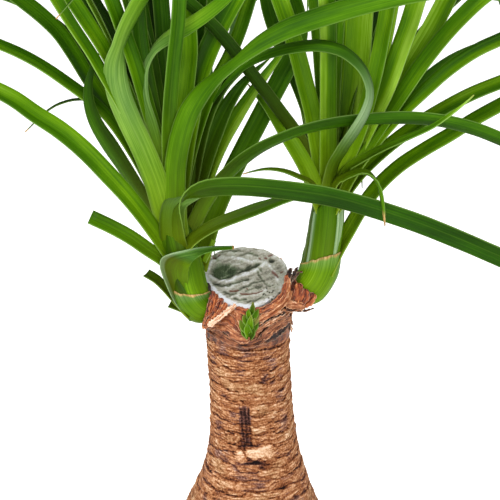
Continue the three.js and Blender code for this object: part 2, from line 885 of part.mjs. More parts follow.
// Hardened grey seal over the saw cut: a low rim round a lumpy, slightly hollow face
function sealSolid() {
  const foot = -cut.thick + gap;
  const place = cutPlace();
  const flatRing = (reach, height) => (
    ring(new THREE.Vector3(0, 0, height), reach, toRight, toBack, cut.sides).map((point) => {
      const angle = Math.atan2(point.y, point.x);
      const lump = cut.lump * Math.sin(2 * angle + reach / 5);
      const wrinkle = cut.wrinkle * Math.sin(5 * angle - reach / 3);
      point.z += height > foot ? (lump + wrinkle) * reach / cut.radius : 0;
      return point.applyMatrix4(place);
    })
  );
  const sections = [flatRing(cut.radius - cut.edge, foot), flatRing(cut.radius, foot + cut.edge)];
  for (let i = cut.rings; i >= 0; i--) {
    const share = i / cut.rings;
    const reach = Math.max(share * (cut.radius - 1), 0.5);
    sections.push(flatRing(reach, cut.rim * (share ** 3 - 1) + cut.crown * (1 - share) ** 2));
  }
  return loft(sections);
}

function potBore(height) {
  const taper = (pot.bandFootRadius - pot.baseRadius) / pot.bandFoot;
  return pot.baseRadius + taper * height - pot.wall;
}

function potSolid() {
  const points = [
    [0, 0],
    [pot.baseRadius - pot.edge, 0],
    [pot.baseRadius, pot.edge],
    [pot.bandFootRadius, pot.bandFoot],
    [pot.bandFootRadius + pot.band - pot.edge / 2, pot.bandFoot],
    [pot.bandFootRadius + pot.band, pot.bandFoot + pot.edge / 2],
    [pot.topRadius, pot.height - pot.edge],
    [pot.topRadius - pot.edge, pot.height],
    [potBore(pot.height) + pot.edge, pot.height],
    [potBore(pot.height), pot.height - pot.edge],
    [potBore(pot.floor), pot.floor],
    [0, pot.floor],
  ];
  const lathe = new THREE.LatheGeometry(points.map(([x, y]) => new THREE.Vector2(x, y)), pot.sides);
  lathe.rotateX(Math.PI / 2);
  let solid = solidOf(lathe);
  for (let i = 0; i < pot.drains; i++) {
    const angle = i / pot.drains * fullTurn;
    const hole = new THREE.CylinderGeometry(pot.drainRadius, pot.drainRadius, pot.floor * 3, pot.drainSides);
    hole.rotateX(Math.PI / 2);
    hole.translate(pot.drainReach * Math.cos(angle), pot.drainReach * Math.sin(angle), 0);
    solid = solid.subtract(solidOf(hole));
  }
  return solid;
}

// Soil fills the pot to below its rim, with a lumpy top and a plain hole for the trunk's foot
function soilSolid() {
  const level = (reach, height) => (
    ring(new THREE.Vector3(0, 0, height), reach, toRight, toBack, pot.sides)
  );
  const lumpy = (points, reach) => points.map((point, i) => {
    const angle = i / pot.sides * fullTurn;
    point.z += soil.lump * Math.sin(reach / soil.lumpSize + 3 * angle);
    point.z += soil.crumb * Math.sin(reach / soil.crumbSize - 7 * angle);
    return point;
  });
  const foot = pot.floor + gap;
  const widest = potBore(soil.top) - gap;
  const sections = [level(potBore(foot) - gap, foot), level(widest, soil.top)];
  for (let i = soil.rings; i >= 1; i--) {
    const share = (i - 0.4) / soil.rings;
    sections.push(lumpy(level(widest * share, soil.top + soil.mound * (1 - share)), widest * share));
  }
  return loft(sections).subtract(trunkSolid(gap));
}

// Room kept free of leaves round the collar and the saw cut, where only the shoots grow out
function trunkRoom() {
  const clear = 2 * gap;
  const sections = [trunk.collarFoot - trunk.barkFade, trunk.outline.at(-1)[0]].map((height) => (
    trunkRing(height, trunkAt(height).radius + collar.rise + clear, trunk.sides)
  ));
  return loft(sections).subtract(aboveCut(-cut.rim - clear));
}

function headOf(shoot, leaves) {
  const blades = [...Object.values(leaves).map(leafOf), ...backLeavesOf(shoot)];
  return join(blades).subtract(trunkRoom()).add(stem(shoot, shoots.sides));
}

// The disc that the seal fills, with its gap round it
function sealRoom() {
  const place = cutPlace();
  return loft([-cut.thick, cut.rim + cut.crown].map((height) => (
    ring(new THREE.Vector3(0, 0, height), cut.radius + gap, toRight, toBack, cut.sides)
      .map((point) => point.applyMatrix4(place))
  )));
}

function scalesSolid() {
  const sleeve = collarSleeve().subtract(aboveCut(cut.thick));
  const whole = join([sleeve, ...Object.values(dryScales).map(leafOf)]);
  return whole.subtract(collarBore()).subtract(sealRoom());
}

function budSolid() {
  return join([stem(bud, bud.sides), ...Object.values(bud.bracts).map(leafOf)]);
}

const sockets = join([
  stem(shoots.left, shoots.sides, gap),
  stem(shoots.right, shoots.sides, gap),
  stem(bud, bud.sides, gap),
]);

const plant = new THREE.Group();
plant.add(meshOf('pot', potSolid()));
plant.add(meshOf('soil', soilSolid()));
plant.add(meshOf('trunk', trunkSolid(0).subtract(aboveCut(cut.thick)).subtract(sockets)));
plant.add(meshOf('cut_seal', sealSolid().subtract(sockets)));
plant.add(meshOf('dry_scales', scalesSolid().subtract(sockets)));
plant.add(meshOf('left_head', headOf(shoots.left, leftLeaves)));
plant.add(meshOf('right_head', headOf(shoots.right, rightLeaves)));
plant.add(meshOf('front_bud', budSolid()));

export default plant;
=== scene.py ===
import math
import random

import bmesh
import bpy
from mathutils import Matrix, Vector, noise


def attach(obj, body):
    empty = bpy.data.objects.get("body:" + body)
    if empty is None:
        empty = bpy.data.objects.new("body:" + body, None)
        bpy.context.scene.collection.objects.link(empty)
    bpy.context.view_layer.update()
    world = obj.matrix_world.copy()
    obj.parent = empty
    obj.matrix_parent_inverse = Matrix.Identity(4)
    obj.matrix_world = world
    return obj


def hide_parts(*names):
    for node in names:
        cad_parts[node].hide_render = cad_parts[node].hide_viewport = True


# Ponytail palm in a clay pot. Metres, +Z up, and the camera looks along +Y.
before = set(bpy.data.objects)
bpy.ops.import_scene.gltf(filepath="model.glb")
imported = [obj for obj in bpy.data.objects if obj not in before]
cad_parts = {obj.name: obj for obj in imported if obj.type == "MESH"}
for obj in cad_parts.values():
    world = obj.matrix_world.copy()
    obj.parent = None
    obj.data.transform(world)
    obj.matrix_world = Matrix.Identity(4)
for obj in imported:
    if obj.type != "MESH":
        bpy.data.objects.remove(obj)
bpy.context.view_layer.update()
random.seed(11)
print("frame loaded")

# Where the camera sees things
# A spot is [across, down] in the 500 x 500 frame and near, the mm toward the camera from the trunk's plane.
sight = dict(rise=math.radians(18), distance=2.0, pixel=0.0006, middle=250,
             target=Vector((-0.0018, 0, 0.405)), lens=240, sensor=36, farthest=60)
toRight = Vector((1, 0, 0))
toViewer = Vector((0, -math.cos(sight["rise"]), math.sin(sight["rise"])))
sightUp = Vector((0, math.sin(sight["rise"]), math.cos(sight["rise"])))


def spot(across, down, near):
    depth = near / 1000
    scale = sight["pixel"] * (sight["distance"] - depth) / sight["distance"]
    return (sight["target"] + toViewer * depth
            + toRight * ((across - sight["middle"]) * scale)
            + sightUp * ((sight["middle"] - down) * scale))


def mixed(low, high, share):
    return low + (high - low) * share


def clamped(value, low=0.0, high=1.0):
    return max(low, min(high, value))


def rolling(x, y, z):
    return noise.noise(Vector((x, y, z)))  # smooth, about -1 to 1


def rollingRound(angle, scale, z, shift=0):  # closes on itself round an axis
    return rolling(math.cos(angle) * scale + shift, math.sin(angle) * scale, z)


# Nodes and materials
def hexColour(text):  # sRGB to linear
    parts = [int(text[i:i + 2], 16) / 255 for i in (0, 2, 4)]
    return tuple(c / 12.92 if c <= 0.04045 else ((c + 0.055) / 1.055) ** 2.4 for c in parts) + (1.0,)


def fill(tree, node, inputs):
    for key, value in inputs.items() if isinstance(inputs, dict) else enumerate(inputs):
        if isinstance(value, bpy.types.NodeSocket):
            tree.links.new(value, node.inputs[key])
        else:
            node.inputs[key].default_value = hexColour(value) if isinstance(value, str) else value


# Adds a node with its settings and links, and gives one of its outputs. Stops are the places and colours of a ramp.
def addNode(tree, kind, inputs=(), out=0, stops=None, **settings):
    node = tree.nodes.new("ShaderNode" + kind)
    for key, value in settings.items():
        setattr(node, key, value)
    if stops:
        places, colours = stops[0], stops[1].split()
        bar = node.color_ramp
        while len(bar.elements) < len(places):
            bar.elements.new(0.5)
        for element, place, colour in zip(bar.elements, places, colours):
            element.position = place
            element.color = hexColour(colour)
    fill(tree, node, inputs)
    return node.outputs[out]


# Moves a level up and down with patterns about their middle value of a half
def stirred(tree, level, *patterns):
    for pattern, gain in patterns:
        swing = addNode(tree, "Math", [pattern, 0.5], operation="SUBTRACT")
        level = addNode(tree, "Math", [swing, gain, level], operation="MULTIPLY_ADD")
    return level


# Lays coats of colour over a base. Each has a value that is its share of the colour, a strength that the
# value is multiplied by, or two levels between which it comes in and the strength it reaches.
def coated(tree, base, *coats):
    for share, *how, colour in coats:
        if len(how) == 1:
            share = addNode(tree, "Math", [share, how[0]], operation="MULTIPLY")
        elif how:
            share = addNode(tree, "MapRange", [share, how[0], how[1], 0.0, how[2]], interpolation_type="SMOOTHSTEP")
        base = addNode(tree, "Mix", {0: share, 6: base, 7: colour}, 2, data_type="RGBA")
    return base


# A new material, its tree and a socket for each value: place is the object's own coordinates, and the others are
# attributes of its vertices
def newMaterial(name, **values):
    material = bpy.data.materials.new(name)
    material.use_nodes = True
    tree = material.node_tree
    return (material, tree, *(addNode(tree, "TexCoord", out=out) if key == "place"
                              else addNode(tree, "Attribute", out=out, attribute_name=key)
                              for key, out in values.items()))


# Joins the colour, roughness and relief (pattern, strength, metres) to the material's shader
def surfaced(material, colour, rough, relief=None, **others):
    tree = material.node_tree
    inputs = {"Base Color": colour, "Roughness": rough}
    inputs.update({key.replace("_", " "): value for key, value in others.items()})
    if relief:
        inputs["Normal"] = addNode(tree, "Bump", {"Height": relief[0], "Strength": relief[1], "Distance": relief[2]})
    fill(tree, tree.nodes["Principled BSDF"], inputs)
    return material


# Sheets, objects and pieces
# A flat grid, as its vertices with their places across it, -1 to 1, and along it, 0 to 1
def openSheet(bm, columns, rows):
    verts = bmesh.ops.create_grid(bm, x_segments=columns, y_segments=rows, size=1)["verts"]
    return [(vert, vert.co.x, (vert.co.y + 1) / 2) for vert in verts]


def numberLayers(bm, *names):
    return [bm.verts.layers.float.new(name) for name in names]


def newObject(name, data):
    if isinstance(data, bmesh.types.BMesh):
        bm, data = data, bpy.data.meshes.new(name)
        bm.to_mesh(data)
        bm.free()
    made = bpy.data.objects.new(name, data)
    bpy.context.scene.collection.objects.link(made)
    return made


# A thin piece keeps the faces' own sides, because its two sides have different materials
def finishedPiece(name, bm, materials, thick=0.0):
    if not thick:
        bmesh.ops.recalc_face_normals(bm, faces=bm.faces)
    piece = newObject(name, bm)
    for face in piece.data.polygons:
        face.use_smooth = True
    for material in materials:
        piece.data.materials.append(material)
    if thick:
        wall = piece.modifiers.new("wall", "SOLIDIFY")
        wall.thickness, wall.offset = thick, 0
        wall.material_offset, wall.material_offset_rim = (1, 2) if len(materials) > 1 else (0, 0)
    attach(piece, "root")
    return piece


# Leaf blades, as sketched over the photograph
# The large leaf base at the left stands up at the side of the shoot, folds over at the top and runs behind the
# cut. Its two edges are spots as above, and its inner face is hollow toward the camera.
foldOver = dict(
    outer=[(190, 321, 1), (176, 304, 6), (167, 286, 17), (160.5, 268, 24), (162, 258.5, 25), (171, 254, 25),
           (184, 251, 25), (197, 248, 21), (214, 246.5, 13), (234, 246, 7)],
    inner=[(195, 321, 0), (188, 306, 2), (188, 292, 9), (188, 279, 18), (189, 269, 22), (192, 262, 23),
           (197, 257.5, 23), (205, 253.5, 19), (217, 250.5, 13), (234, 249, 7)],
    hollow=3.2, curl=1.8, columns=24, rows=100)
# name=(width and full length in mm, or 0 for the route's own length, tone from dark 0 to pale 1, turn, route).
# The route's stops are spots, some with a turn of their own: 0 degrees faces the camera and 90 faces up.
leftLeaves = dict(
    frontArch=(12, 490, 0.34, 25, [(180, 262, 12, 150), (175, 238, 20, 140), (176, 214, 32, 120), (186, 196, 42, 70),
        (206, 187, 48, 35), (240, 185, 50), (285, 189, 50), (330, 196, 48), (375, 208, 44), (420, 223, 40),
        (460, 239, 36), (500, 256, 32)]),
    creased=(15, 0, 0.42, 165, [(180, 268, 10), (173, 244, 17), (171, 218, 24), (176, 200, 26, 150),
        (196, 194, 18, 110), (225, 190, 10, 90)]),
    leftCut=(9.5, 0, 0.5, 30, [(190, 292, -2, 60), (178, 275, 9, 50), (163, 261, 17, 40), (147, 250, 21, 35),
        (130, 238, 24), (110, 227, 26), (90, 217.5, 27)]),
    foldSheath=foldOver,
    dart=(6.5, 0, 0.3, 40, [(190, 318, 2, 60), (177, 303, 0, 50), (166, 290, -2, 45), (156, 280, -4),
        (146, 274, -6)]),
    leftLong=(11.5, 470, 0.6, 25, [(184, 285, 1, 60), (170, 258, 12, 45), (152, 230, 16, 35), (132, 203, 22, 30),
        (110, 178, 27), (85, 152, 32), (60, 131, 35), (35, 115, 36, 28), (12, 99, 36, 30), (-15, 86, 34, 35)]),
    hook=(10.5, 0, 0.27, 155, [(178, 262, 4, 120), (160, 228, 4, 125), (143, 200, 4, 135), (126, 172, 5, 145),
        (110, 147, 7), (96, 124, 9, 165), (89, 104, 10, 170), (88, 85, 10, 165), (93, 66, 6), (101, 50, -4, 140)]),
    thread=(4, 0, 0.18, 50, [(175, 244, 4, 90), (150, 182, -14, 100), (124, 138, -18, 100), (103, 108, -19, 90),
        (82, 100, -14, 60), (62, 103, -8), (46, 112, -2), (25, 132, 4)]),
    upLeft2=(9, 430, 0.55, 45, [(174, 240, 4, 60), (160, 212, 1, 55), (146, 180, 2, 50), (128, 147, 2, 48),
        (108, 118, 2), (88, 99, 2), (66, 83, 2), (42, 67, 3), (18, 54, 5), (-8, 43, 6)]),
    upLeft3=(10.5, 450, 0.48, 30, [(173, 232, 5, 50), (160, 192, -6, 45), (146, 160, -7, 40), (128, 132, -7, 38),
        (108, 107, -6, 35), (90, 82, -5), (74, 56, -2), (58, 33, 0), (38, 14, 2), (15, -4, 5)]),
    upLeft4=(9, 440, 0.6, 45, [(171, 215, 4, 40), (157, 178, 13, 40), (138, 138, 25, 42), (120, 105, 33),
        (104, 78, 41), (90, 54, 46), (74, 30, 53), (60, 8, 58), (48, -12, 64)]),
    dropTip=(6, 0, 0.15, 120, [(171, 220, 3), (167, 175, 3), (160, 120, 4, 130), (148, 50, 12, 140), (130, -5, 24),
        (105, -30, 40, 90), (85, -14, 56, 60), (70, 3, 63, 50), (56, 19, 66, 50)]),
    fanA=(10, 440, 0.64, 32, [(172, 226, 5, 30), (152, 155, 12, 30), (134, 110, 21), (118, 76, 29), (102, 47, 35),
        (86, 22, 42), (70, -2, 48)]),
    fanB=(9.5, 430, 0.68, 40, [(172, 224, 4), (155, 150, 6), (140, 105, 10), (126, 68, 14), (110, 34, 17),
        (94, 4, 20), (84, -14, 22)]),
    fanC=(10, 450, 0.55, 30, [(171, 222, 4), (158, 150, 11), (146, 105, 21), (134, 64, 30), (121, 28, 39),
        (110, -2, 46)]),
    fanD=(9, 430, 0.55, 30, [(171, 222, 3), (160, 150, -6), (151, 100, -2), (142, 55, 2), (132, 15, 5),
        (126, -8, 7)]),
    broadLight=(14, 270, 0.66, 165, [(174, 240, 14), (163, 208, 19), (154, 178, 25, 168), (142, 148, 30, 172),
        (129, 120, 35, 178), (119, 94, 39, 185), (116, 70, 41, 205), (120, 50, 43, 245), (127, 30, 43, 240),
        (136, 12, 43, 235), (146, -6, 43, 230)]),
    secondLight=(10.5, 225, 0.62, 160, [(172, 225, 10), (163, 190, 14), (157, 157, 17, 158), (149, 127, 20, 155),
        (141, 102, 22, 150), (139, 82, 24, 150), (143, 65, 25, 120), (152, 49, 26, 120), (166, 37, 29, 140),
        (184, 28, 36), (203, 16, 43, 170), (220, 3, 48, 170), (234, -10, 52, 170)]),
    centreFront=(13, 600, 0.5, 160, [(178, 255, 14, 165), (175, 225, 20, 165), (174, 195, 24, 168),
        (175, 165, 28, 170), (180, 137, 31, 172), (188, 112, 34, 162), (200, 92, 36, 142), (216, 75, 38, 122),
        (236, 59, 40, 118), (258, 43, 43, 138), (284, 29, 47, 156), (314, 18, 52), (346, 8, 58), (380, -1, 65),
        (410, -8, 71)]),
    lime=(11, 400, 0.64, 10, [(173, 222, 6), (176, 180, 9), (179, 145, 10), (183, 112, 11), (187, 80, 12, 12),
        (190, 50, 12, 15), (188, 22, 12, 20), (182, -4, 12, 20)]),
    limeLeft=(9, 420, 0.5, 25, [(171, 215, 8, 20), (169, 175, 16), (168, 135, 24), (170, 95, 32), (173, 60, 39),
        (177, 25, 45), (179, -5, 50)]),
    innerA=(10, 430, 0.35, 20, [(171, 222, 3), (160, 150, 7), (150, 100, 17), (141, 50, 27), (136, 0, 38)]),
    innerB=(10, 430, 0.3, 15, [(171, 220, 1), (164, 150, -9), (158, 95, -5), (152, 45, -2), (148, -5, 1)]),
    innerC=(10, 430, 0.35, 10, [(172, 222, 2), (170, 150, -2), (168, 95, 4), (164, 45, 8), (160, -5, 13)]),
    innerD=(10, 430, 0.3, 10, [(174, 222, 2), (182, 150, -9), (190, 95, -5), (196, 45, -1), (200, -5, 4)]),
    darkRight=(12.5, 280, 0.5, 15, [(174, 226, 4), (182, 170, 3), (190, 122, 7), (198, 82, 10), (209, 50, 13),
        (224, 19, 14), (239, -8, 16)]),
    paleEdge=(8.5, 250, 0.58, 20, [(175, 228, 2), (188, 165, 0), (201, 118, 3), (215, 84, 6), (229, 58, 8),
        (240, 32, 9), (249, 4, 10), (254, -12, 11)]),
    innerRight=(12, 0, 0.38, 20, [(178, 242, 4), (197, 184, -1), (210, 145, 0), (224, 113, 1), (237, 91, 1),
        (253, 73, 0), (270, 58, -1, 25)]),
    innerDark=(12, 0, 0.28, 20, [(175, 236, 5), (188, 190, -3), (196, 150, -1), (206, 115, 2, 22), (222, 88, 3, 25),
        (240, 70, 3, 30), (258, 54, 2, 30), (275, 40, 0, 35)]),
    brightRight=(9.5, 0, 0.72, 30, [(178, 248, 5), (198, 205, 0), (210, 172, -1), (222, 144, -1, 25),
        (236, 119, -2, 20), (251, 96, -2, 20), (265, 76, -2, 20), (279, 57, -2, 20), (291, 39, 5, 25),
        (297, 29, 7)]),
    broadRight=(12.5, 420, 0.5, 20, [(196, 270, -2), (204, 245, -5), (214, 215, -8), (228, 183, -9), (243, 153, -9),
        (258, 124, -9), (271, 99, -9), (283, 76, -10), (295, 52, -11), (299, 30, -12), (295, 8, -14),
        (287, -14, -16)]),
    longArch=(9.5, 600, 0.36, 140, [(184, 255, 8, 150), (192, 232, 11, 150), (203, 208, 15, 150),
        (218, 186, 20, 145), (236, 167, 25), (256, 152, 30, 132), (278, 141, 34, 124), (302, 132, 38, 122),
        (330, 125, 41, 124), (362, 121, 43, 130), (395, 119, 44), (425, 120, 44), (452, 124, 43), (478, 131, 41),
        (503, 141, 38)]),
    lowRight=(8.5, 0, 0.34, 50, [(184, 262, 12, 60), (186, 250, 18), (196, 238, 22, 40), (215, 226, 24, 35),
        (240, 216, 26, 35), (265, 207, 27, 35), (290, 199, 27, 40), (316, 194, 26), (338, 195, 24)]),
)

rightLeaves = dict(
    bentShort=(7, 0, 0.45, 70, [(328, 206, 0), (337, 184, 12, 60), (347, 177, 20, 50), (358, 174, 30, 50),
        (368, 175, 40), (376, 182, 47, 90), (380, 193, 50, 120), (383, 208, 50, 130), (385, 226, 49, 130)]),
    paleTip=(6, 0, 0.5, 50, [(329, 206, -1, 40), (345, 172, 12, 40), (362, 160, 22, 45), (385, 148, 33),
        (410, 137, 42), (432, 127, 49), (450, 115, 54), (463, 105, 57), (474, 95, 59)]),
    loop=(10.5, 0, 0.4, 160, [(327, 208, -1, 140), (333, 172, 14, 128), (343, 152, 32, 125), (356, 132, 46, 125),
        (367, 112, 55, 120), (372, 94, 58, 116), (368, 76, 57, 120), (358, 61, 53, 128), (342, 49, 49, 134),
        (320, 44, 44, 142), (296, 46, 38, 150), (272, 52, 31, 155), (250, 62, 24, 158), (234, 75, 17), (220, 91, 11),
        (210, 108, 5)]),
    upLeft=(8.5, 340, 0.18, 150, [(326, 200, 0), (318, 176, 3), (307, 152, 6), (294, 131, 8), (279, 111, 9),
        (264, 91, 13), (249, 71, 18), (234, 51, 23), (218, 32, 25), (200, 14, 26), (182, -2, 26)]),
    brightLeft=(10, 0, 0.7, 20, [(325, 214, 0), (314, 186, 10), (305, 166, 12), (294, 147, 9), (282, 129, 4, 25),
        (270, 112, -2, 30), (259, 98, -7, 35), (248, 84, -10, 35)]),
    thinLeft=(3.5, 0, 0.35, 40, [(325, 206, 2), (312, 184, 16), (299, 177, 22), (284, 171, 26), (268, 169, 29),
        (254, 171, 31), (243, 174, 32)]),
    crownA=(10.5, 430, 0.66, 12, [(326, 205, -1), (322, 170, 4), (317, 140, 8), (312, 112, 12), (305, 85, 15),
        (298, 58, 18), (290, 30, 21), (281, 4, 25), (274, -16, 26)]),
    crownBehind=(10, 400, 0.42, 12, [(326, 205, -8), (321, 165, -12), (313, 125, -16), (302, 92, -18),
        (289, 62, -18), (277, 34, -18), (269, 8, -18), (266, -14, -18)]),
    crownB=(10, 420, 0.66, 8, [(328, 205, -1), (328, 170, 7), (328, 135, 15), (328, 100, 22), (328, 70, 30),
        (328, 40, 37), (327, 10, 42), (326, -14, 48)]),
    crownC=(18, 440, 0.76, 10, [(331, 205, -5), (341, 170, -2), (348, 135, 0), (352, 105, 2), (355, 75, 3),
        (357, 45, 5), (359, 15, 7), (361, -12, 8)]),
    crownD=(10, 430, 0.66, 25, [(332, 200, 1), (345, 165, 10), (359, 132, 18), (369, 100, 25), (377, 70, 33),
        (383, 40, 40), (388, 10, 46), (392, -14, 52)]),
    crownE=(9, 430, 0.6, 25, [(330, 212, -4), (348, 162, -4), (363, 125, -2), (375, 90, -1), (383, 55, 0),
        (389, 25, 2), (395, -8, 4)]),
    crownF=(12, 440, 0.76, 25, [(335, 200, -1), (351, 162, 10), (369, 125, 19), (386, 90, 27), (399, 55, 36),
        (410, 25, 44), (420, -8, 53)]),
    crownG=(12.5, 430, 0.76, 30, [(336, 200, 2), (354, 162, 7), (376, 124, 11), (397, 88, 15), (416, 56, 18),
        (434, 26, 21), (450, -4, 24)]),
    upRight1=(10.5, 450, 0.6, 30, [(330, 212, -1), (356, 165, 14), (380, 128, 21), (402, 95, 27), (424, 63, 33),
        (448, 33, 38), (474, 6, 43), (498, -14, 47)]),
    upRight2=(10, 450, 0.58, 40, [(331, 212, 0), (354, 172, 15), (374, 145, 21), (396, 119, 26), (420, 96, 30),
        (447, 72, 33), (475, 53, 36), (503, 40, 36)]),
    upRight3=(10.5, 430, 0.62, 40, [(330, 216, -2), (352, 184, 7), (370, 164, 10), (392, 145, 13), (418, 126, 16),
        (446, 109, 18), (475, 94, 20), (505, 82, 21)]),
    upRight4=(10.5, 460, 0.66, 40, [(326, 275, -4), (337, 253, -6), (349, 232, -8), (362, 210, -9), (379, 187, -4),
        (400, 167, 1), (424, 151, 5), (450, 136, 8), (476, 120, 10), (504, 105, 12)]),
)

# A blade's measures in metres and degrees, and its strengths and gains as shares
blade = dict(thick=0.0007, gutter=0.15, taper=0.45, taperPower=0.8, clasp=0.25, claspFade=0.020, step=0.0042,
             fewest=10, across=6, droop=7.0, sway=0.0006, twist=7, perSpan=10, shadedHalves=0.32, settles=0.06,
             uneven=0.03, ruffle=0.018, tipLight=0.55, paleFade=0.030, narrowest=0.0004)
cutLeaves = ("leftCut", "dart")
# mm of dead tissue at the tips that the photograph shows
dryTips = dict(thread=3, bentShort=13, hook=5, dropTip=2, loop=7, brightLeft=7, thinLeft=6, innerDark=6,
               brightRight=6, lowRight=5, creased=4)
# where along them some leaves carry a painted sheen, a pale grey-green highlight laid into the colour: middle, spread
# and strength
chalkyLeaves = dict(loop=(0.36, 0.09, 0.55), broadLight=(0.36, 0.14, 0.18), secondLight=(0.40, 0.12, 0.25),
                    creased=(0.75, 0.2, 0.2))
lightTips = dict(paleTip=0.035)
ageing = dict(reach=0.012, share=0.4)


# The place and direction on a smooth curve through the points, where point 2 is at 2.0
def curvePoint(points, at):
    low = min(int(at), len(points) - 2)
    t = at - low
    before = points[low - 1] if low > 0 else points[0] * 2 - points[1]
    after = points[low + 2] if low + 2 < len(points) else points[-1] * 2 - points[-2]
    p, q = points[low], points[low + 1]
    leave, arrive = (q - before) * 0.5, (after - p) * 0.5
    square, cube = -3 * p + 3 * q - 2 * leave - arrive, 2 * p - 2 * q + leave + arrive
    return p + leave * t + square * t ** 2 + cube * t ** 3, (leave + 2 * square * t + 3 * cube * t ** 2).normalized()


# The way square to a direction that is closest to the camera
def facingOf(along):
    return (toViewer - along * toViewer.dot(along)).normalized()


# A route as a path, which is a list of place, direction and face. The face keeps to one side round a bend.
def follow(route, turn=0):
    points = [spot(*stop[:3]) for stop in route]
    turns = [stop[3] if len(stop) > 3 else turn for stop in route]
    spans = len(points) - 1
    path, upward = [], sightUp
    for i in range(spans * blade["perSpan"] + 1):
        at = i / blade["perSpan"]
        low = min(int(at), spans - 1)
        tilt = math.radians(mixed(turns[low], turns[low + 1], at - low))
        place, along = curvePoint(points, at)
        facing = facingOf(along)
        side = along.cross(facing)
        upward = -side if side.dot(upward) < 0 else side
        path.append((place, along, facing * math.cos(tilt) + upward * math.sin(tilt)))
    return path


def lengthOf(path):
    return sum((path[i][0] - path[i - 1][0]).length for i in range(1, len(path)))


# Carries a path on to its full length, bending down by its own weight
def droopOn(path, long, droop):
    place, along, face = path[-1]
    across = along.cross(face)
    gone = lengthOf(path)
    while gone < long:
        along = (along - Vector((0, 0, droop * blade["step"]))).normalized()
        place = place + along * blade["step"]
        across = (across - along * across.dot(along)).normalized()
        path.append((place, along, across.cross(along)))
        gone += blade["step"]
    return path


# The place, the way across and the way up from the face of a path, at a number of even steps
def evenSteps(path, count):
    total = lengthOf(path)
    rows, gone, at = [], 0.0, 1
    for i in range(count + 1):
        want = total * i / count
        stretch = (path[at][0] - path[at - 1][0]).length
        while gone + stretch < want - 1e-9 and at < len(path) - 1:
            gone += stretch
            at += 1
            stretch = (path[at][0] - path[at - 1][0]).length
        share = clamped((want - gone) / max(stretch, 1e-9))
        place, along, face = (path[at - 1][k].lerp(path[at][k], share) for k in range(3))
        across = along.cross(face).normalized()
        rows.append((place, across, across.cross(along).normalized()))
    return rows, total


# plan is the place on the flat leaf in metres, tint holds tone (with the painted shade and highlight of the blade's
# two halves), dryness, side (0 middle to 1 edge) and paleness toward the root, and bloom is a grey-green waxy film on
# leaf bases and a painted sheen on some blades
def layersOf(bm):
    layers = bm.verts.layers
    return layers.float_vector.new("plan"), layers.float_color.new("tint"), layers.float.new("bloom")


# A strap with a gutter: it clasps the shoot at its foot, then waves and twists a little, tapers and dries at the tip
def addBlade(bm, layers, path, wide, tone, seed, dryTip=0.0, cutOff=False, gutter=blade["gutter"], pale=0.6,
             chalky=None, light=0.0):
    plan, tint, bloom = layers
    count = max(int(lengthOf(path) / blade["step"]), blade["fewest"])
    rows, total = evenSteps(path, count)
    for vert, side, share in openSheet(bm, blade["across"], count):
        place, across, up = rows[round(share * count)]
        gone = share * total
        left = total - gone
        taper = 1 if cutOff else clamped(left / (blade["taper"] * total)) ** blade["taperPower"]
        clasp = 1 + blade["clasp"] * math.exp(-gone / blade["claspFade"])
        waver = 1 + blade["uneven"] * rolling(seed, gone * 25, 3)
        width = max(wide * taper * clasp * waver, blade["narrowest"])
        settled = clamped(gone / blade["settles"]) * clamped(taper * 1.5)
        tilt = math.radians(blade["twist"]) * rolling(seed, gone * 14, 9) * settled
        sway = blade["sway"] * rolling(gone * 16, seed, 5) * settled
        ruffle = blade["ruffle"] * width * rolling(seed + side * 0.7, gone * 60, 1) * settled
        bend = gutter * width * (0.35 * side ** 2 + 0.65 * abs(side)) + ruffle * abs(side)
        sideways = across * math.cos(tilt) + up * math.sin(tilt)
        raised = up * math.cos(tilt) - across * math.sin(tilt)
        vert.co = place + sideways * (side * width / 2) + raised * (bend + sway)
        dryness = clamped(1 - left / (dryTip / 1000)) if dryTip else 0
        ragged = 0 if cutOff else clamped(1 - left / ageing["reach"]) * ageing["share"]
        # painted shade and highlight: one half of the blade darker and the other paler, swapping sides along it, as
        # light falls across the gutter
        halfShade = blade["shadedHalves"] * clamped(side * 5, -1, 1) * rolling(seed * 3.1, gone * 5, 2)
        lit = blade["tipLight"] * clamped(1 - left / light if light else 0)
        vert[plan] = (side * width / 2 + seed * 0.37, gone + seed * 1.3, seed)
        paleness = pale * math.exp(-gone / blade["paleFade"])
        vert[tint] = (tone + halfShade + lit, max(dryness, ragged), abs(side), paleness)
        # painted sheen: a pale grey-green highlight along part of the blade
        vert[bloom] = chalky[2] * math.exp(-((share - chalky[0]) / chalky[1]) ** 2) if chalky else 0
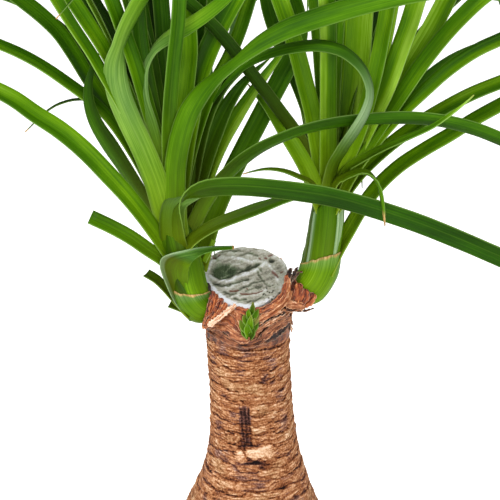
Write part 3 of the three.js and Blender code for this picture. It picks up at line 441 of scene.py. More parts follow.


# Ponytail palm leaf, a tough cuticle over long parallel veins: satin gloss, fine stripes along the
# blade, a pale thin margin that also paints the rim light on the edges, a grey bloom of wax on the leaf bases, and
# the same grey-green laid on some blades as a painted sheen
def leafMaterial(name, tones, gloss, marginAndRimLight, rib, places=(0.0, 0.2, 0.4, 0.58, 0.75, 1.0)):
    material, tree, plan, tint, bloom = newMaterial(name, plan="Vector", tint="Color", bloom="Fac")
    tone, dryness, side = addNode(tree, "SeparateColor", [tint]).node.outputs
    # veins stand 0.7 mm apart on the leaf and run about 90 mm before they change
    veinPlan = addNode(tree, "Mapping", dict(Vector=plan, Scale=(1400, 11, 1)))
    veins = addNode(tree, "TexNoise", dict(Vector=veinPlan, Scale=1.0, Detail=2.0, Roughness=0.6))
    cloudPlan = addNode(tree, "Mapping", dict(Vector=plan, Scale=(120, 28, 1)))
    clouds = addNode(tree, "TexNoise", dict(Vector=cloudPlan, Scale=1.0, Detail=3.0))
    tone = stirred(tree, tone, (veins, 0.42), (clouds, 0.42))
    green = addNode(tree, "ValToRGB", [tone], stops=(places, tones))
    veinTones = (0.25, 0.5, 0.75)
    # the wax colour, also laid on some blades as a painted sheen
    waxAndSheen = addNode(tree, "ValToRGB", [veins], stops=(veinTones, "5f7c56 86a078 b2c2a2"))
    dead = addNode(tree, "ValToRGB", [veins], stops=(veinTones, "7d5a30 b48f56 d3b783"))
    dryEdge = addNode(tree, "MapRange", [stirred(tree, dryness, (clouds, 0.8)), 0.25, 0.75, 0.0, 1.0],
                      interpolation_type="SMOOTHSTEP")
    # the pale margin coat is partly painted highlight, the rim light along the blade's edges
    colour = coated(tree, green, (side, 0.10, 0.0, *rib), (side, 0.88, 1.0, *marginAndRimLight),
                    (tint.node.outputs["Alpha"], "7f8c14"), (bloom, waxAndSheen), (dryEdge, dead))
    rough = gloss
    for pattern, gain in ((veins, 0.16), (bloom, 0.2), (dryEdge, 0.35)):
        rough = addNode(tree, "Math", [pattern, gain, rough], operation="MULTIPLY_ADD")
    return surfaced(material, colour, rough, (veins, 0.4, 0.0004), IOR=1.40, Specular_IOR_Level=0.08)


leafFace = leafMaterial("waxyLeafFace", "0b1f00 143000 224900 3a6601 5b8504 8db33a", 0.36, (0.20, "8fb04e"),
                        (0.15, "5f8424"))
leafUnder = leafMaterial("matteLeafUnderside", "0e2401 1b3801 2c5402 457105 678f18 98ba54", 0.46, (0.22, "9cb866"),
                         (0.22, "234a08"))
leafRim = leafMaterial("thinLeafMargin", "1f3a08 45701a 86ab4c", 0.5, (0.2, "9cb866"), (0.0, "9dbb5c"),
                       (0.0, 0.5, 1.0))
leafFinish = [leafFace, leafUnder, leafRim]
print("leaf finishes ready")

# The two shoots. A sheath has its start and end along the shoot, heading and half width in degrees, tone, point,
# slant, torn rim and lift in mm, and some the edge that is pale (-1 left) and the strength of their bloom. The rear
# leaves have a middle heading, a step that mixes their lengths, and here and there a heading of their own.
shoots = dict(
    left=dict(
        route=[(212, 307, -5), (200, 305.5, -2), (189.5, 290, 2), (182.5, 264, 6), (176, 238, 8), (170, 212, 5),
               (168, 190, 0)],
        radii=[7, 10.2, 10.4, 10.8, 10.8, 8, 3], backMiddle=-22, backMix=0.381,
        backTurned={0: -5, 1: 1, 3: -40, 4: -28}, leaves=leftLeaves,
        sheaths=dict(cup=(0.0, 0.345, -8, 118, 0.60, 0.06, -0.11, 1.0, 0.8),
                     inner=(0.08, 0.66, 52, 72, 0.62, 0.5, 0.0, 0.0, 0.5),
                     outer=(0.05, 0.60, -75, 70, 0.34, 0.4, 0.0, 0.1, 0.6),
                     rear=(0.05, 0.58, 170, 95, 0.5, 0.3, 0.0, 0.4, 0.9),
                     neck=(0.2, 0.84, 10, 80, 0.42, 0.5, 0.1, 0.0, 0.4),
                     rearNeck=(0.2, 0.86, 195, 85, 0.45, 0.5, -0.1, 0.0, 0.7))),
    right=dict(
        route=[(296, 292, -15), (309, 287, -12), (319, 270, -8), (323, 247, -5), (326, 222, -3), (328, 200, -2),
               (329, 178, -2)],
        radii=[7, 10.5, 10.8, 9.8, 9.4, 8, 3], backMiddle=24, backMix=0.618,
        backTurned={0: 6, 1: 44, 2: -12, 8: -12}, leaves=rightLeaves,
        sheaths=dict(cup=(0.0, 0.455, 4, 125, 0.70, 0.13, 0.10, 0.9, 0.9),
                     leftNeck=(0.2, 0.86, -78, 58, 0.40, 0.2, 0.0, 0.0, 0.4),
                     neck=(0.12, 0.84, 18, 72, 0.50, 0.15, 0.0, 0.0, 0.9, -1, 0),
                     rightNeck=(0.2, 0.90, 76, 40, 0.8, 0.2, 0.0, 0.0, 1.4, 0, 0.75),
                     rear=(0.05, 0.60, 180, 95, 0.5, 0.3, 0.0, 0.4, 0.8),
                     rearNeck=(0.2, 0.88, 190, 80, 0.45, 0.5, 0.0, 0.0, 0.5))),
)
backLeaves = dict(golden=137.5, count=10, lowest=0.6, highest=0.92, spread=100, steepest=80, flattest=52,
                  shortest=0.400, longest=0.560, narrow=0.0085, wide=0.0115, droop=6.5)
shootShape = dict(sides=28, steps=54, crease=0.05, sheathSteps=22, torn=0.012, meeting=2e-5)


# The middle of a shoot, its front, its right and its radius at a share of its height
def shootAt(shoot, share):
    points = [spot(*stop) for stop in shoot["route"]]
    at = share * (len(points) - 1)
    low = min(int(at), len(points) - 2)
    place, along = curvePoint(points, at)
    facing = facingOf(along)
    radius = mixed(shoot["radii"][low], shoot["radii"][low + 1], at - low) / 1000
    return place, facing, along.cross(facing), radius


# The stem inside the leaf bases, creased lengthways and closed at both ends
def addShootCore(bm, shoot):
    plan, tint, bloom = layersOf(bm)
    for vert, side, share in openSheet(bm, shootShape["sides"], shootShape["steps"]):
        angle = side * math.pi
        place, facing, sideways, radius = shootAt(shoot, share)
        pinch = math.sqrt(clamped(share / 0.06)) * math.sqrt(clamped((1 - share) / 0.05))
        groove = 1 - shootShape["crease"] * abs(math.sin(3 * angle + 9 * share)) ** 0.5
        reach = max(radius * pinch * groove, 1e-6)
        vert.co = place + facing * (reach * math.cos(angle)) + sideways * (reach * math.sin(angle))
        vert[plan] = (angle * radius, share * 0.1, 0)
        vert[tint] = (0.42, 0.0, 0.4, 0.35 * (1 - share))
    bmesh.ops.remove_doubles(bm, verts=bm.verts, dist=shootShape["meeting"])


# A leaf base that wraps part of the way round the shoot: heading 0 is its front, 90 its right
def addSheath(bm, layers, shoot, sheath, seed):
    plan, tint, bloom = layers
    start, end, heading, half, tone, point, slant, rim, lift, *film = sheath
    paleSide, waxed = film or (0, 0)
    for vert, u, v in openSheet(bm, shootShape["sheathSteps"], shootShape["sheathSteps"]):
        top = end - (end - start) * point * abs(u) ** 1.6 + slant * u
        ragged = shootShape["torn"] * rolling(u * 9, seed, 2) * rim
        share = clamped(mixed(start, top + ragged, v))
        angle = math.radians(heading + half * u * (1 - 0.2 * v * point))
        place, facing, sideways, radius = shootAt(shoot, share)
        closed = math.sqrt(clamped((share + 0.004) / 0.06))
        reach = radius * closed + (0.3 + lift * v ** 2 + 0.35 * v * rolling(u * 2, v * 3, seed)) / 1000
        vert.co = place + facing * (reach * math.cos(angle)) + sideways * (reach * math.sin(angle))
        brown = clamped((v - 0.90) / 0.10) * rim * (0.75 + 0.5 * rolling(u * 6, seed, 4))
        edge = clamped((u * paleSide - 0.80) / 0.12)
        vert[plan] = (u * radius * math.radians(half) + seed, share * 0.08, seed)
        vert[tint] = (tone + 0.10 * rolling(u * 3, v * 2, seed + 5), clamped(brown), abs(u) * 0.85,
                      0.30 * (1 - v) + 0.05)
        vert[bloom] = clamped(waxed + edge + 0.25 * clamped((v - 0.8) / 0.2) * rim)


def addFoldOver(bm, layers, fold):
    plan, tint, bloom = layers
    outer, inner = ([spot(*stop) for stop in fold[edge]] for edge in ("outer", "inner"))
    last = len(outer) - 1
    for vert, side, v in openSheet(bm, fold["columns"], fold["rows"]):
        u = (side + 1) / 2
        start, end = curvePoint(outer, v * last)[0], curvePoint(inner, v * last)[0]
        width = (end - start).length
        depth = fold["hollow"] / 1000 * math.sin(math.pi * u) * clamped(width / 0.012)
        roll = fold["curl"] / 1000 * math.exp(-u / 0.09) * clamped(width / 0.010)
        vert.co = (start.lerp(end, u) - toViewer * depth + toViewer * (0.6 * roll)
                   - (end - start).normalized() * (0.5 * roll * math.sin(u * 30)))
        rim = clamped(1.25 - u / 0.13)
        over = clamped((v - 0.50) / 0.10)
        # painted shade: darkest just inside the rolled rim and paler toward the inner edge, as under the rim's
        # overhang
        shade = 0.18 + 0.34 * clamped((u - 0.15) / 0.7) + 0.16 * rolling(u * 5, v * 7, 3)
        vert[plan] = (u * width, v * 0.11, 70)
        vert[tint] = (mixed(shade, 0.55, over), clamped((v - 0.985) / 0.01), 0.4, 0.25 * (1 - over))
        vert[bloom] = clamped(0.50 * rim + 0.12 * over * (1 - 0.5 * u) * clamped((0.95 - v) / 0.2))


# Bits of cut leaf beside the left shoot: width in mm, tone, turn and route
stubs = dict(nub=(6.5, 0.2, 30, [(192, 312, 0), (181, 307, -2), (170, 303, -3)]),
             sliver=(2.6, 0.85, 20, [(204, 262, 2), (210, 250, 3), (214, 240, 3)]))


# A leaf behind the crown, headed by turns of the golden angle where the photograph doesn't show it elsewhere
def backLeaf(shoot, i):
    share = i / (backLeaves["count"] - 1)
    mix = (i * shoot["backMix"]) % 1
    spiral = (i * backLeaves["golden"]) % backLeaves["spread"] - backLeaves["spread"] / 2 + shoot["backMiddle"]
    heading = math.radians(shoot["backTurned"].get(i, spiral))
    steep = math.radians(mixed(backLeaves["flattest"], backLeaves["steepest"], share))
    along = Vector((math.sin(heading) * math.cos(steep), math.cos(heading) * math.cos(steep), math.sin(steep)))
    face = Vector((math.cos(heading), -math.sin(heading), 0)).cross(along)
    place = shootAt(shoot, mixed(backLeaves["lowest"], backLeaves["highest"], share))[0]
    path = droopOn([(place, along, face), (place + along * 0.001, along, face)],
                   mixed(backLeaves["shortest"], backLeaves["longest"], mix), backLeaves["droop"])
    return path, mixed(backLeaves["narrow"], backLeaves["wide"], 1 - mix), 0.20 + 0.35 * mix


def buildShoot(key, shoot):
    core = bmesh.new()
    addShootCore(core, shoot)
    stemPiece = finishedPiece(key + "ShootCore", core, [leafUnder])
    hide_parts(key + "_head")
    bm = bmesh.new()
    layers = layersOf(bm)
    seeds = 40 * len(key)
    for i, sheath in enumerate(shoot["sheaths"].values()):
        addSheath(bm, layers, shoot, sheath, seed=i * 3.7 + len(key))
    for i, (wide, tone, turn, route) in enumerate(stubs.values() if key == "left" else ()):
        addBlade(bm, layers, follow(route, turn), wide / 1000, tone, 80 + i, cutOff=True, pale=0.2)
    for i, (name, leaf) in enumerate(shoot["leaves"].items()):
        if leaf is foldOver:
            addFoldOver(bm, layers, leaf)
            continue
        wide, long, tone, turn, route = leaf
        path = droopOn(follow(route, turn), long / 1000, blade["droop"])
        addBlade(bm, layers, path, wide / 1000, tone, i + 1 + seeds, dryTips.get(name, 0), name in cutLeaves,
                 chalky=chalkyLeaves.get(name), light=lightTips.get(name, 0))
    for i in range(backLeaves["count"]):
        addBlade(bm, layers, *backLeaf(shoot, i), i + 20 + seeds)
    bladesPiece = finishedPiece(key + "Leaves", bm, leafFinish, blade["thick"])
    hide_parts(key + "_head")
    print(key, "shoot built")


for key, shoot in shoots.items():
    buildShoot(key, shoot)

# Trunk
# The outline holds the height, the offset to the right and the radius, in mm
trunk = dict(
    outline=[(118, 0, 22), (128, 0, 40), (142, 0, 51), (160, 0, 59), (185, -0.5, 62), (206, -1, 57), (226, -1, 48),
             (248, -0.6, 37.8), (263, 0.6, 31.8), (275, 0.6, 28.6), (285, 0.3, 26.4), (310, -1.2, 25),
             (335, -2.6, 24.6), (348, -3.3, 25.2), (372, -3.6, 25.4), (412, -4, 25.2)],
    ease=8, columns=250, rows=380, foot=118, seat=2.2, collarFoot=352, topReach=0.0235, neck=256, neckShare=0.30,
    neckPitch=5.6, footPitch=8.0, closing=(190, 90), ringsFrom=100, ringsTo=430, lean=4.0)
cut = dict(centre=spot(245, 278, -5.5), lean=math.radians(30), thick=0.0036)
cutNormal = Vector((0, -math.sin(cut["lean"]), math.cos(cut["lean"])))
# Rings and fine rings for each ring counted, a ring's lip and step as shares of it, relief in mm, and the heights
# and sizes, in mm, of the swollen foot and its cork plates
bark = dict(rings=0.82, fineRings=2.3, lip=0.13, step=0.06, ledge=1.15, fine=0.5, flake=0.30, sliver=0.15, swell=0.5,
            starts=150, fade=15, swollen=258, swells=60, plateRound=3.0, plateHigh=17, gap=0.16, crack=1.3)
# A deep dark cleft with fibres in it and the pale smooth scar below, in degrees to the left of the front and mm
cleft = dict(left=9, half=9.5, soft=3.5, foot=285, top=315.5)
scar = dict(height=283.7, half=4.4, wide=27, slope=0.05)
# Dark patches: middle in degrees to the right of the front and mm, half sizes, fullness, slope, raggedness (scales,
# slice, least and gain), and what relief, the mark with its painted shading, and hue lose. The cleft's foot is apart,
# as the scar lies over it. The first patch, just under the scar, is its painted shadow, with a dip in the relief.
cleftFoot = [(-14, 288, 18, 4.2, 1.25, 0, (5, 2.2, 4, 0.55, 1.5), (0.8, 1.2, 0.5))]
darkPatches = [(1, 278.3, 24, 3.6, 1.2, scar["slope"], (7, 2.2, 12, 0.8, 1.9), (0.9, 1.6, 0.9)),
               (25, 330.5, 14, 4.5, 1.2, 0, (6, 2, 6, 0.5, 1.6), (0, 1.1, 0.8)),
               (33, 263, 7, 4, 1.1, 0, (3, 2, 15, 0.6, 1.5), (0, 1.2, 0)),
               (-33, 295.5, 14, 4.5, 1.1, 0, (4, 1.8, 18, 0.3, 1.9), (0.5, 1.3, 0.4))]


# The trunk's offset and radius at a height, from the outline eased over its neighbours
def trunkAt(height):
    rows = trunk["outline"]
    sums = [0.0, 0.0]
    for offset, weight in ((-1, 1), (-0.5, 1), (0, 2), (0.5, 1), (1, 1)):
        z = height + offset * trunk["ease"]
        high = clamped(sum(row[0] <= z for row in rows), 1, len(rows) - 1)
        below, above = rows[high - 1], rows[high]
        share = clamped((z - below[0]) / (above[0] - below[0]))
        for k in (0, 1):
            sums[k] += weight * mixed(below[k + 1], above[k + 1], share) / 6
    return sums


# How high the cut lies over a spot, less the seal's depth, in mm
def cutHeight(x, y, depth):
    centre = cut["centre"]
    return (centre.z - depth / cutNormal.z
            - (cutNormal.x * (x - centre.x) + cutNormal.y * (y - centre.y)) / cutNormal.z) * 1000


# Ring scars are counted up the trunk, closer together in the neck than on the swollen foot
ringCount = [0.0]
for z in range(trunk["ringsFrom"], trunk["ringsTo"]):
    closer = clamped((z - trunk["closing"][0]) / trunk["closing"][1])
    ringCount.append(ringCount[-1] + 1 / mixed(trunk["footPitch"], trunk["neckPitch"], closer))


def ringsBelow(height):
    at = clamped(height - trunk["ringsFrom"], 0, len(ringCount) - 2)
    low = int(at)
    return mixed(ringCount[low], ringCount[low + 1], at - low)


# How far along the sheet of bark each height comes: most of its rows are spent on the neck, which is seen closest
def barkHeight(share, top):
    if share < trunk["neckShare"]:
        return mixed(trunk["foot"], trunk["neck"], share / trunk["neckShare"])
    return mixed(trunk["neck"], top, (share - trunk["neckShare"]) / (1 - trunk["neckShare"]))


# Takes from the values what the patches take at a spot
def darkened(values, patches, front, height):
    for middle, level, wide, high, full, slope, (acrossScale, upScale, layer, least, gain), losses in patches:
        share = clamped(full - math.hypot((front - middle) / wide, (height - level + slope * front) / high))
        share *= clamped(least + gain * rolling(front / acrossScale, height / upScale, layer))
        values = [value - share * loss for value, loss in zip(values, losses)]
    return values


# Relief in mm, a mark partly of painted shade and highlight (pale above 0, dark below 0) and a hue (tan above 0, plum
# below 0) at a height in mm and an angle, -90 degrees at the front
def barkAt(height, angle):
    lying = height - trunk["lean"] * math.sin(angle)  # the rings hang lower at the front
    counted = ringsBelow(lying)
    # each ring is a ledge over a groove, which runs out here and there; the groove's darkness is painted shade
    warp = 0.55 * rollingRound(angle, 1.9, lying / 17) + 0.20 * rollingRound(angle, 6, lying / 5)
    phase = counted * bark["rings"] + warp
    ring = math.floor(phase)
    part = phase - ring
    band = rollingRound(angle, 2.6, ring * 0.7, ring * 5.1)
    gap = clamped(0.75 + 1.3 * rollingRound(angle, 2.2, ring * 1.9, ring * 2.3))
    groove = 1 - gap * (1 - clamped((1 - part) / bark["lip"]) * clamped(part / bark["step"]))
    ledge = (0.25 + 0.75 * part ** 1.3) * groove * (0.75 + 0.5 * band)
    # finer rings lie across the ledges, clear in some places and faint in others
    finePhase = counted * bark["fineRings"] + 1.3 * rollingRound(angle, 2.8, lying / 8) + 2 * band
    finePart = finePhase - math.floor(finePhase)
    fineRing = clamped(finePart / 0.22) * clamped((1 - finePart) / 0.34)
    faint = clamped(0.55 + 1.5 * rollingRound(angle, 4, lying / 3.5, 11))
    # flakes 5 mm long and slivers 2 mm long lie along the rings
    flake, sliver = rollingRound(angle, 5.5, lying), rollingRound(angle, 13, lying / 0.7)
    relief = (bark["ledge"] * ledge - 0.6 + bark["fine"] * (fineRing - 0.5) * faint + bark["flake"] * flake
              + bark["sliver"] * sliver)
    relief += bark["swell"] * rollingRound(angle, 2.4, height / 30)
    # painted shade and highlight: the mark darkens each groove as shade and turns paler toward the top of each ledge
    # as highlight
    mark = (1.5 * (groove - 0.86) + 0.5 * (part - 0.5) * groove + 0.85 * (fineRing - 0.72) * faint + 0.6 * flake
            + 0.5 * sliver)
    # the hue goes toward plum in the grooves as part of the same painted shade
    hue = 1.1 * rollingRound(angle, 2.2, ring * 1.3 + height / 60, 7) + 0.7 * flake - 0.5 * (1 - groove)

    # the cleft between its wavering edges, with upright fibres
    front = math.degrees(math.atan2(math.cos(angle), -math.sin(angle)))
    side = abs(front + cleft["left"] + 1.6 * rolling(height / 3, 3, 1))
    ceiling = cleft["top"] - height + 4 * rolling(front / 3, 0, 8)
    inCleft = (clamped((cleft["half"] - side) / cleft["soft"]) * clamped((height - cleft["foot"]) / 7)
               * clamped(ceiling / 4))
    strands = 0.5 + 0.5 * math.sin(front * 1.25 + height / 9 + 2 * rolling(front / 4, height / 14, 2))
    relief = mixed(relief, -1.1 + 0.8 * strands, 0.9 * inCleft)
    mark = mixed(mark, -1.35 + 1.1 * strands ** 1.5 + 0.5 * sliver, 0.9 * inCleft)
    hue -= 1.1 * inCleft
    relief, mark, hue = darkened((relief, mark, hue), cleftFoot, front, height)

    # the scar is a smooth band, with a crack where the cleft runs on through it
    above = (height - scar["height"] - 0.9 * math.sin(front / 7) - scar["slope"] * front
             + 1.6 * rolling(front / 6, height / 5, 9))
    smooth = clamped((scar["half"] - abs(above)) / 1.3) * clamped((scar["wide"] - abs(front - 1)) / 7)
    smooth *= clamped((abs(front + cleft["left"] + 1.4 * above) - 1.2) / 1.2)
    mark = mixed(mark, 1.2 + 0.5 * flake + 0.3 * sliver, 0.95 * smooth)
    hue = mixed(hue, 0.6 + 0.5 * flake, 0.9 * smooth)
    relief = mixed(relief, 0.45 + 0.25 * flake, 0.7 * smooth)
    return darkened((relief, mark, hue), darkPatches, front, height)


# Corky bark left by fallen leaves, dry and matt: pale fibrous ledges over narrow hollows, the ledge tops paler as
# painted highlight and the hollows dark as painted shade
def barkFinish():
    material, tree, place, mark, hue, rootward = newMaterial("dryCorkyBark", place="Object", mark="Fac", hue="Fac",
                                                             rootward="Fac")
    # fibres lie along the rings, about 10 mm long and 0.7 mm high, with crumbs of 1 mm between them
    tilted = addNode(tree, "Mapping", dict(Vector=place, Rotation=(-0.16, 0, 0)))
    fibrePlan = addNode(tree, "Mapping", dict(Vector=tilted, Scale=(110, 110, 1350)))
    fibres = addNode(tree, "TexNoise", dict(Vector=fibrePlan, Scale=1.0, Detail=4.0, Roughness=0.7))
    crumbs = addNode(tree, "TexNoise", dict(Vector=place, Scale=900.0, Detail=3.0, Roughness=0.6))
    clouds = addNode(tree, "TexNoise", dict(Vector=place, Scale=60.0, Detail=4.0))
    level = addNode(tree, "Math", [mark, 0.30, 0.50], operation="MULTIPLY_ADD")
    level = stirred(tree, level, (fibres, 0.95), (crumbs, 0.95))
    levels = (0.08, 0.24, 0.42, 0.56, 0.72, 0.93)
    rust, straw, plum = (addNode(tree, "ValToRGB", [level], stops=(levels, tones)) for tones in (
        "1a0903 4c2512 7d4728 9c643d bf8b62 e6bd9a", "22110a 5b3620 8b5c38 a97b53 c99e77 efd2b5",
        "130907 3a211c 603d34 7f5749 a17e70 d0b4a6"))
    grey = addNode(tree, "ValToRGB", [level], stops=((0.12, 0.35, 0.55, 0.75, 0.95),
                                                     "2b1d14 5c4433 836951 a58c72 cdb9a1"))
    warm = stirred(tree, hue, (clouds, 1.4))
    colour = coated(tree, rust, (warm, 0.0, 0.75, 1.0, straw), (warm, -0.15, -0.85, 1.0, plum), (rootward, 0.6, grey))
    relief = addNode(tree, "Math", [crumbs, 0.5, fibres], operation="MULTIPLY_ADD")
    return surfaced(material, colour, 0.9, (relief, 0.9, 0.0012), Specular_IOR_Level=0.15)


def buildTrunk():
    bm = bmesh.new()
    mark, hue, rootward = numberLayers(bm, "mark", "hue", "rootward")
    for vert, side, share in openSheet(bm, trunk["columns"], trunk["rows"]):
        angle = side * math.pi - math.pi / 2
        height = barkHeight(share, cutHeight(0, math.sin(angle) * trunk["topReach"], cut["thick"]))
        offset, radius = trunkAt(height)
        seated = clamped((height - trunk["collarFoot"]) / 2)
        rough = clamped((height - bark["starts"]) / bark["fade"])
        relief, shade, vert[hue] = barkAt(height, angle)
        swollen = clamped((bark["swollen"] - height) / bark["swells"])
        crack = 0
        if swollen:  # the swollen foot cracks into corky plates
            place = Vector((math.cos(angle), math.sin(angle), 0)) * bark["plateRound"]
            place.z = height / bark["plateHigh"]
            nearest, second = noise.voronoi(place)[0][:2]
            crack = clamped(1 - (second - nearest) / bark["gap"]) * swollen
        raised = relief * (1 - 0.4 * swollen) * (1 - seated) - bark["crack"] * crack
        reach = radius + rough * raised - seated * trunk["seat"]
        vert.co = Vector((offset + reach * math.cos(angle), reach * math.sin(angle), height)) / 1000
        vert[mark] = shade - bark["crack"] * crack
        vert[rootward] = swollen
    bmesh.ops.remove_doubles(bm, verts=bm.verts, dist=1e-6)
    bmesh.ops.holes_fill(bm, edges=[edge for edge in bm.edges if edge.is_boundary])
    piece = finishedPiece("ringedTrunk", bm, [barkFinish()])
    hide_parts("trunk")


buildTrunk()
print("trunk built")

# Seal over the saw cut
# Its edge (angle in degrees from the right, reach in mm) and its marks, as spots of the photograph with their half
# width in spots and a strength. The hollow and the pitted patch have their middle and half sizes.
seal = dict(
    columns=220, rows=104, rim=1.1, crown=0.6, foreshort=0.743, middle=(245, 278), perSpot=0.6,
    faceShare=0.8, inward=0.6, kept=0.985,  # the rest of the sheet goes down over the edge and in under the disc
    edge=[(12, 26.8), (30, 27.2), (51, 26.2), (76, 25.4), (105, 25.4), (128, 27.2), (146, 28.0), (161, 27.6),
          (184, 25.6), (206, 23.2), (225, 22.4), (244, 23.4), (277, 25.0), (305, 23.6), (344, 24.0), (372, 26.8)],
    hollow=(223.5, 270.4, 13.0, 8.6), pitted=(271, 293, 15, 12), peach=(208, 252.5, 4.5, 4),
    ridges=[(1.8, 1.0, [(211, 276), (219, 280), (229, 280), (242, 275), (255, 270), (264, 264)]),
            (1.6, 0.8, [(209, 268), (212, 261), (221, 257), (237, 257), (249, 261)]),
            (1.3, 0.6, [(222, 288), (232, 286), (243, 283), (256, 279)]),
            (1.3, 0.6, [(248, 262), (258, 260), (266, 262), (272, 268), (279, 281)]),
            (1.2, 0.5, [(232, 296), (243, 296), (256, 294), (266, 289)]),
            (1.0, 0.6, [(226, 269), (231, 264), (240, 263)]), (0.9, 0.5, [(222, 275), (231, 272), (240, 270)]),
            (1.2, 0.5, [(228, 252), (240, 252.5), (252, 255)])],
    furrows=[(3.4, 1.0, [(230, 270.5), (238, 270.5)]), (2.6, 1.0, [(236, 270.5), (245, 269), (251, 266.5)]),
             (1.6, 1.0, [(249, 267), (259, 263.5)]),
             (1.3, 0.9, [(214, 283), (222, 284.5), (229, 284), (238, 281), (248, 278)]),
             (1.2, 0.8, [(236, 290), (246, 285), (256, 281), (264, 280)]),
             (1.1, 0.8, [(224, 291), (230, 293), (236, 292)]), (1.2, 0.7, [(220, 252), (230, 250.5), (240, 250.5)]),
             (1.1, 0.7, [(240, 254), (250, 252.5), (258, 255)]), (1.2, 0.7, [(258, 271), (262, 279), (269, 285)]),
             (1.1, 0.7, [(246, 300), (254, 300), (263, 296)]), (1.2, 0.9, [(234, 297.5), (240, 299), (246, 298)]),
             (1.6, 0.8, [(259, 267), (261, 269)]), (2.0, 0.9, [(271, 259.5), (273, 261)]),
             (1.8, 0.8, [(213, 254), (217, 259)]), (1.0, 0.7, [(246, 290), (255, 287), (262, 285)])],
    cracks=[(0.9, 1, [(230, 289.5), (234, 290), (238, 289)]),
            (0.9, 1, [(241, 292.5), (249, 293), (256, 292.5), (262.5, 290)]),
            (1.3, 1, [(272.5, 271), (275, 273.5), (278, 276.5)]), (0.8, 1, [(259, 257.5), (260, 257.6)]),
            (1.3, 1, [(265, 257.2), (266.5, 258)]), (1.0, 1, [(269, 255.6), (272, 255)]),
            (1.1, 1, [(281, 272), (283, 271)]), (1.2, 1, [(213, 257), (215, 258)]),
            (1.0, 1, [(218, 256), (219, 255)]), (0.8, 1, [(247, 287), (247.5, 288)])])


# How close, from 0 to 1, a spot is to lines given as (half width, strength, points)
def onLines(lines, across, down):
    most = 0.0
    for half, strength, points in lines:
        for (x1, y1), (x2, y2) in zip(points, points[1:]):
            runX, runY = x2 - x1, y2 - y1
            share = clamped(((across - x1) * runX + (down - y1) * runY) / (runX * runX + runY * runY))
            gap = math.hypot(across - x1 - share * runX, down - y1 - share * runY)
            most = max(most, strength * clamped(1.35 - gap / half))
    return most


# The seal's reach in mm, eased from stop to stop of its edge
def sealEdge(angle):
    rows = seal["edge"]
    turn = (math.degrees(angle) - rows[0][0]) % 360 + rows[0][0]
    for (low, near), (high, far) in zip(rows, rows[1:]):
        if turn <= high:
            share = (turn - low) / (high - low)
            return mixed(near, far, share * share * (3 - 2 * share))
    return rows[0][1]


# Height in mm, dampness with painted shade in its furrows, wear, chalk with painted highlight and shade, and peach
# tint of the seal at a spot in mm, measured from its middle
def sealAt(x, y):
    angle = math.atan2(y, x)
    turn = math.degrees(angle) % 360
    reach = math.hypot(x, y) / sealEdge(angle)
    across = seal["middle"][0] + x / seal["perSpot"]
    down = seal["middle"][1] - y * seal["foreshort"] / seal["perSpot"]
    wobbleX, wobbleY = (1.1 * rolling(x / 3.5, y / 3.5, layer) for layer in (2, 9))
    wavyAcross, wavyDown = across + wobbleX, down + wobbleY
    ridge, furrow = (onLines(seal[key], wavyAcross, wavyDown) for key in ("ridges", "furrows"))
    crack = onLines(seal["cracks"], across + 0.6 * wobbleX, down + 0.6 * wobbleY)
    midX, midY, halfX, halfY = seal["hollow"]
    hollow = clamped(3.2 - 3.0 * math.hypot((wavyAcross - midX + 0.2 * (down - midY)) / halfX,
                                            (wavyDown - midY) / halfY))
    outside = 1 - hollow
    # finer puckers fan out to the upper right
    lean, run = x * 0.45 - y * 0.89, x * 0.89 + y * 0.45
    puckers = 1 - 4.0 * abs(rolling(run / 9 + 0.5 * wobbleX / 2, lean / 2.4, 11))
    lumps, fine = rolling(x / 4.5, y / 4.5, 14), rolling(x / 1.2, y / 1.2, 8)
    # the rim is pale and raised, most of all at the lower left
    lowRim = clamped((reach - 0.79) / 0.07) * clamped(1 - abs(turn - 232) / 88) ** 0.4
    rim = clamped((reach - 0.86) / 0.08) * clamped(0.55 + 0.9 * rollingRound(angle, 2.5, 4))
    midX, midY, halfX, halfY = seal["pitted"]
    pitZone = clamped(2 - 2 * math.hypot((across - midX) / halfX, (down - midY) / halfY))
    closest = noise.voronoi(Vector((x / 1.9, y / 1.9, 0)))[0][0]
    pits = pitZone * clamped((0.34 - closest) / 0.12)
    height = seal["rim"] * (reach ** 3 - 1) + seal["crown"] * (1 - reach) ** 2 - 1.5 * hollow
    height += 0.6 * ridge - 0.5 * furrow * outside - 0.5 * crack - 0.35 * pits + 0.16 * puckers * outside
    height += 0.25 * lumps + 0.12 * fine + 0.5 * lowRim + 0.25 * rim
    # painted shade: the furrows take the dark moss green too, besides the hollow's own green
    damp = clamped(hollow * (1 - 0.6 * ridge) + 0.5 * furrow + 0.3 * clamped(lumps * 2) * (1 - lowRim))
    threads = abs(math.sin(across * 1.5 + 2 * wobbleY)) * hollow  # fine upright threads in the hollow
    # painted highlight and shade: the chalk follows the relief, paler on the ridges, puckers and lumps and darker in
    # the furrows, pits and hollow; the pale rim is the seal's own chalky colour
    chalk = 0.65 * ridge + 0.85 * lowRim + 0.40 * rim + 0.16 * puckers * outside + 0.30 * lumps + 0.22 * fine
    chalk -= 0.60 * furrow * (1 - 0.5 * hollow) + 1.1 * pits + 0.55 * hollow - 0.25 * threads
    leftEdge = clamped((reach - 0.90) / 0.06) * clamped(1 - abs(turn - 200) / 24)
    wear = clamped(crack + 0.5 * leftEdge * clamped(0.5 + 2 * rolling(x / 2, y / 2, 3)))
    midX, midY, halfX, halfY = seal["peach"]
    peach = clamped(1.4 - math.hypot((across - midX) / halfX, (down - midY) / halfY))
    return height, damp, wear, chalk, peach
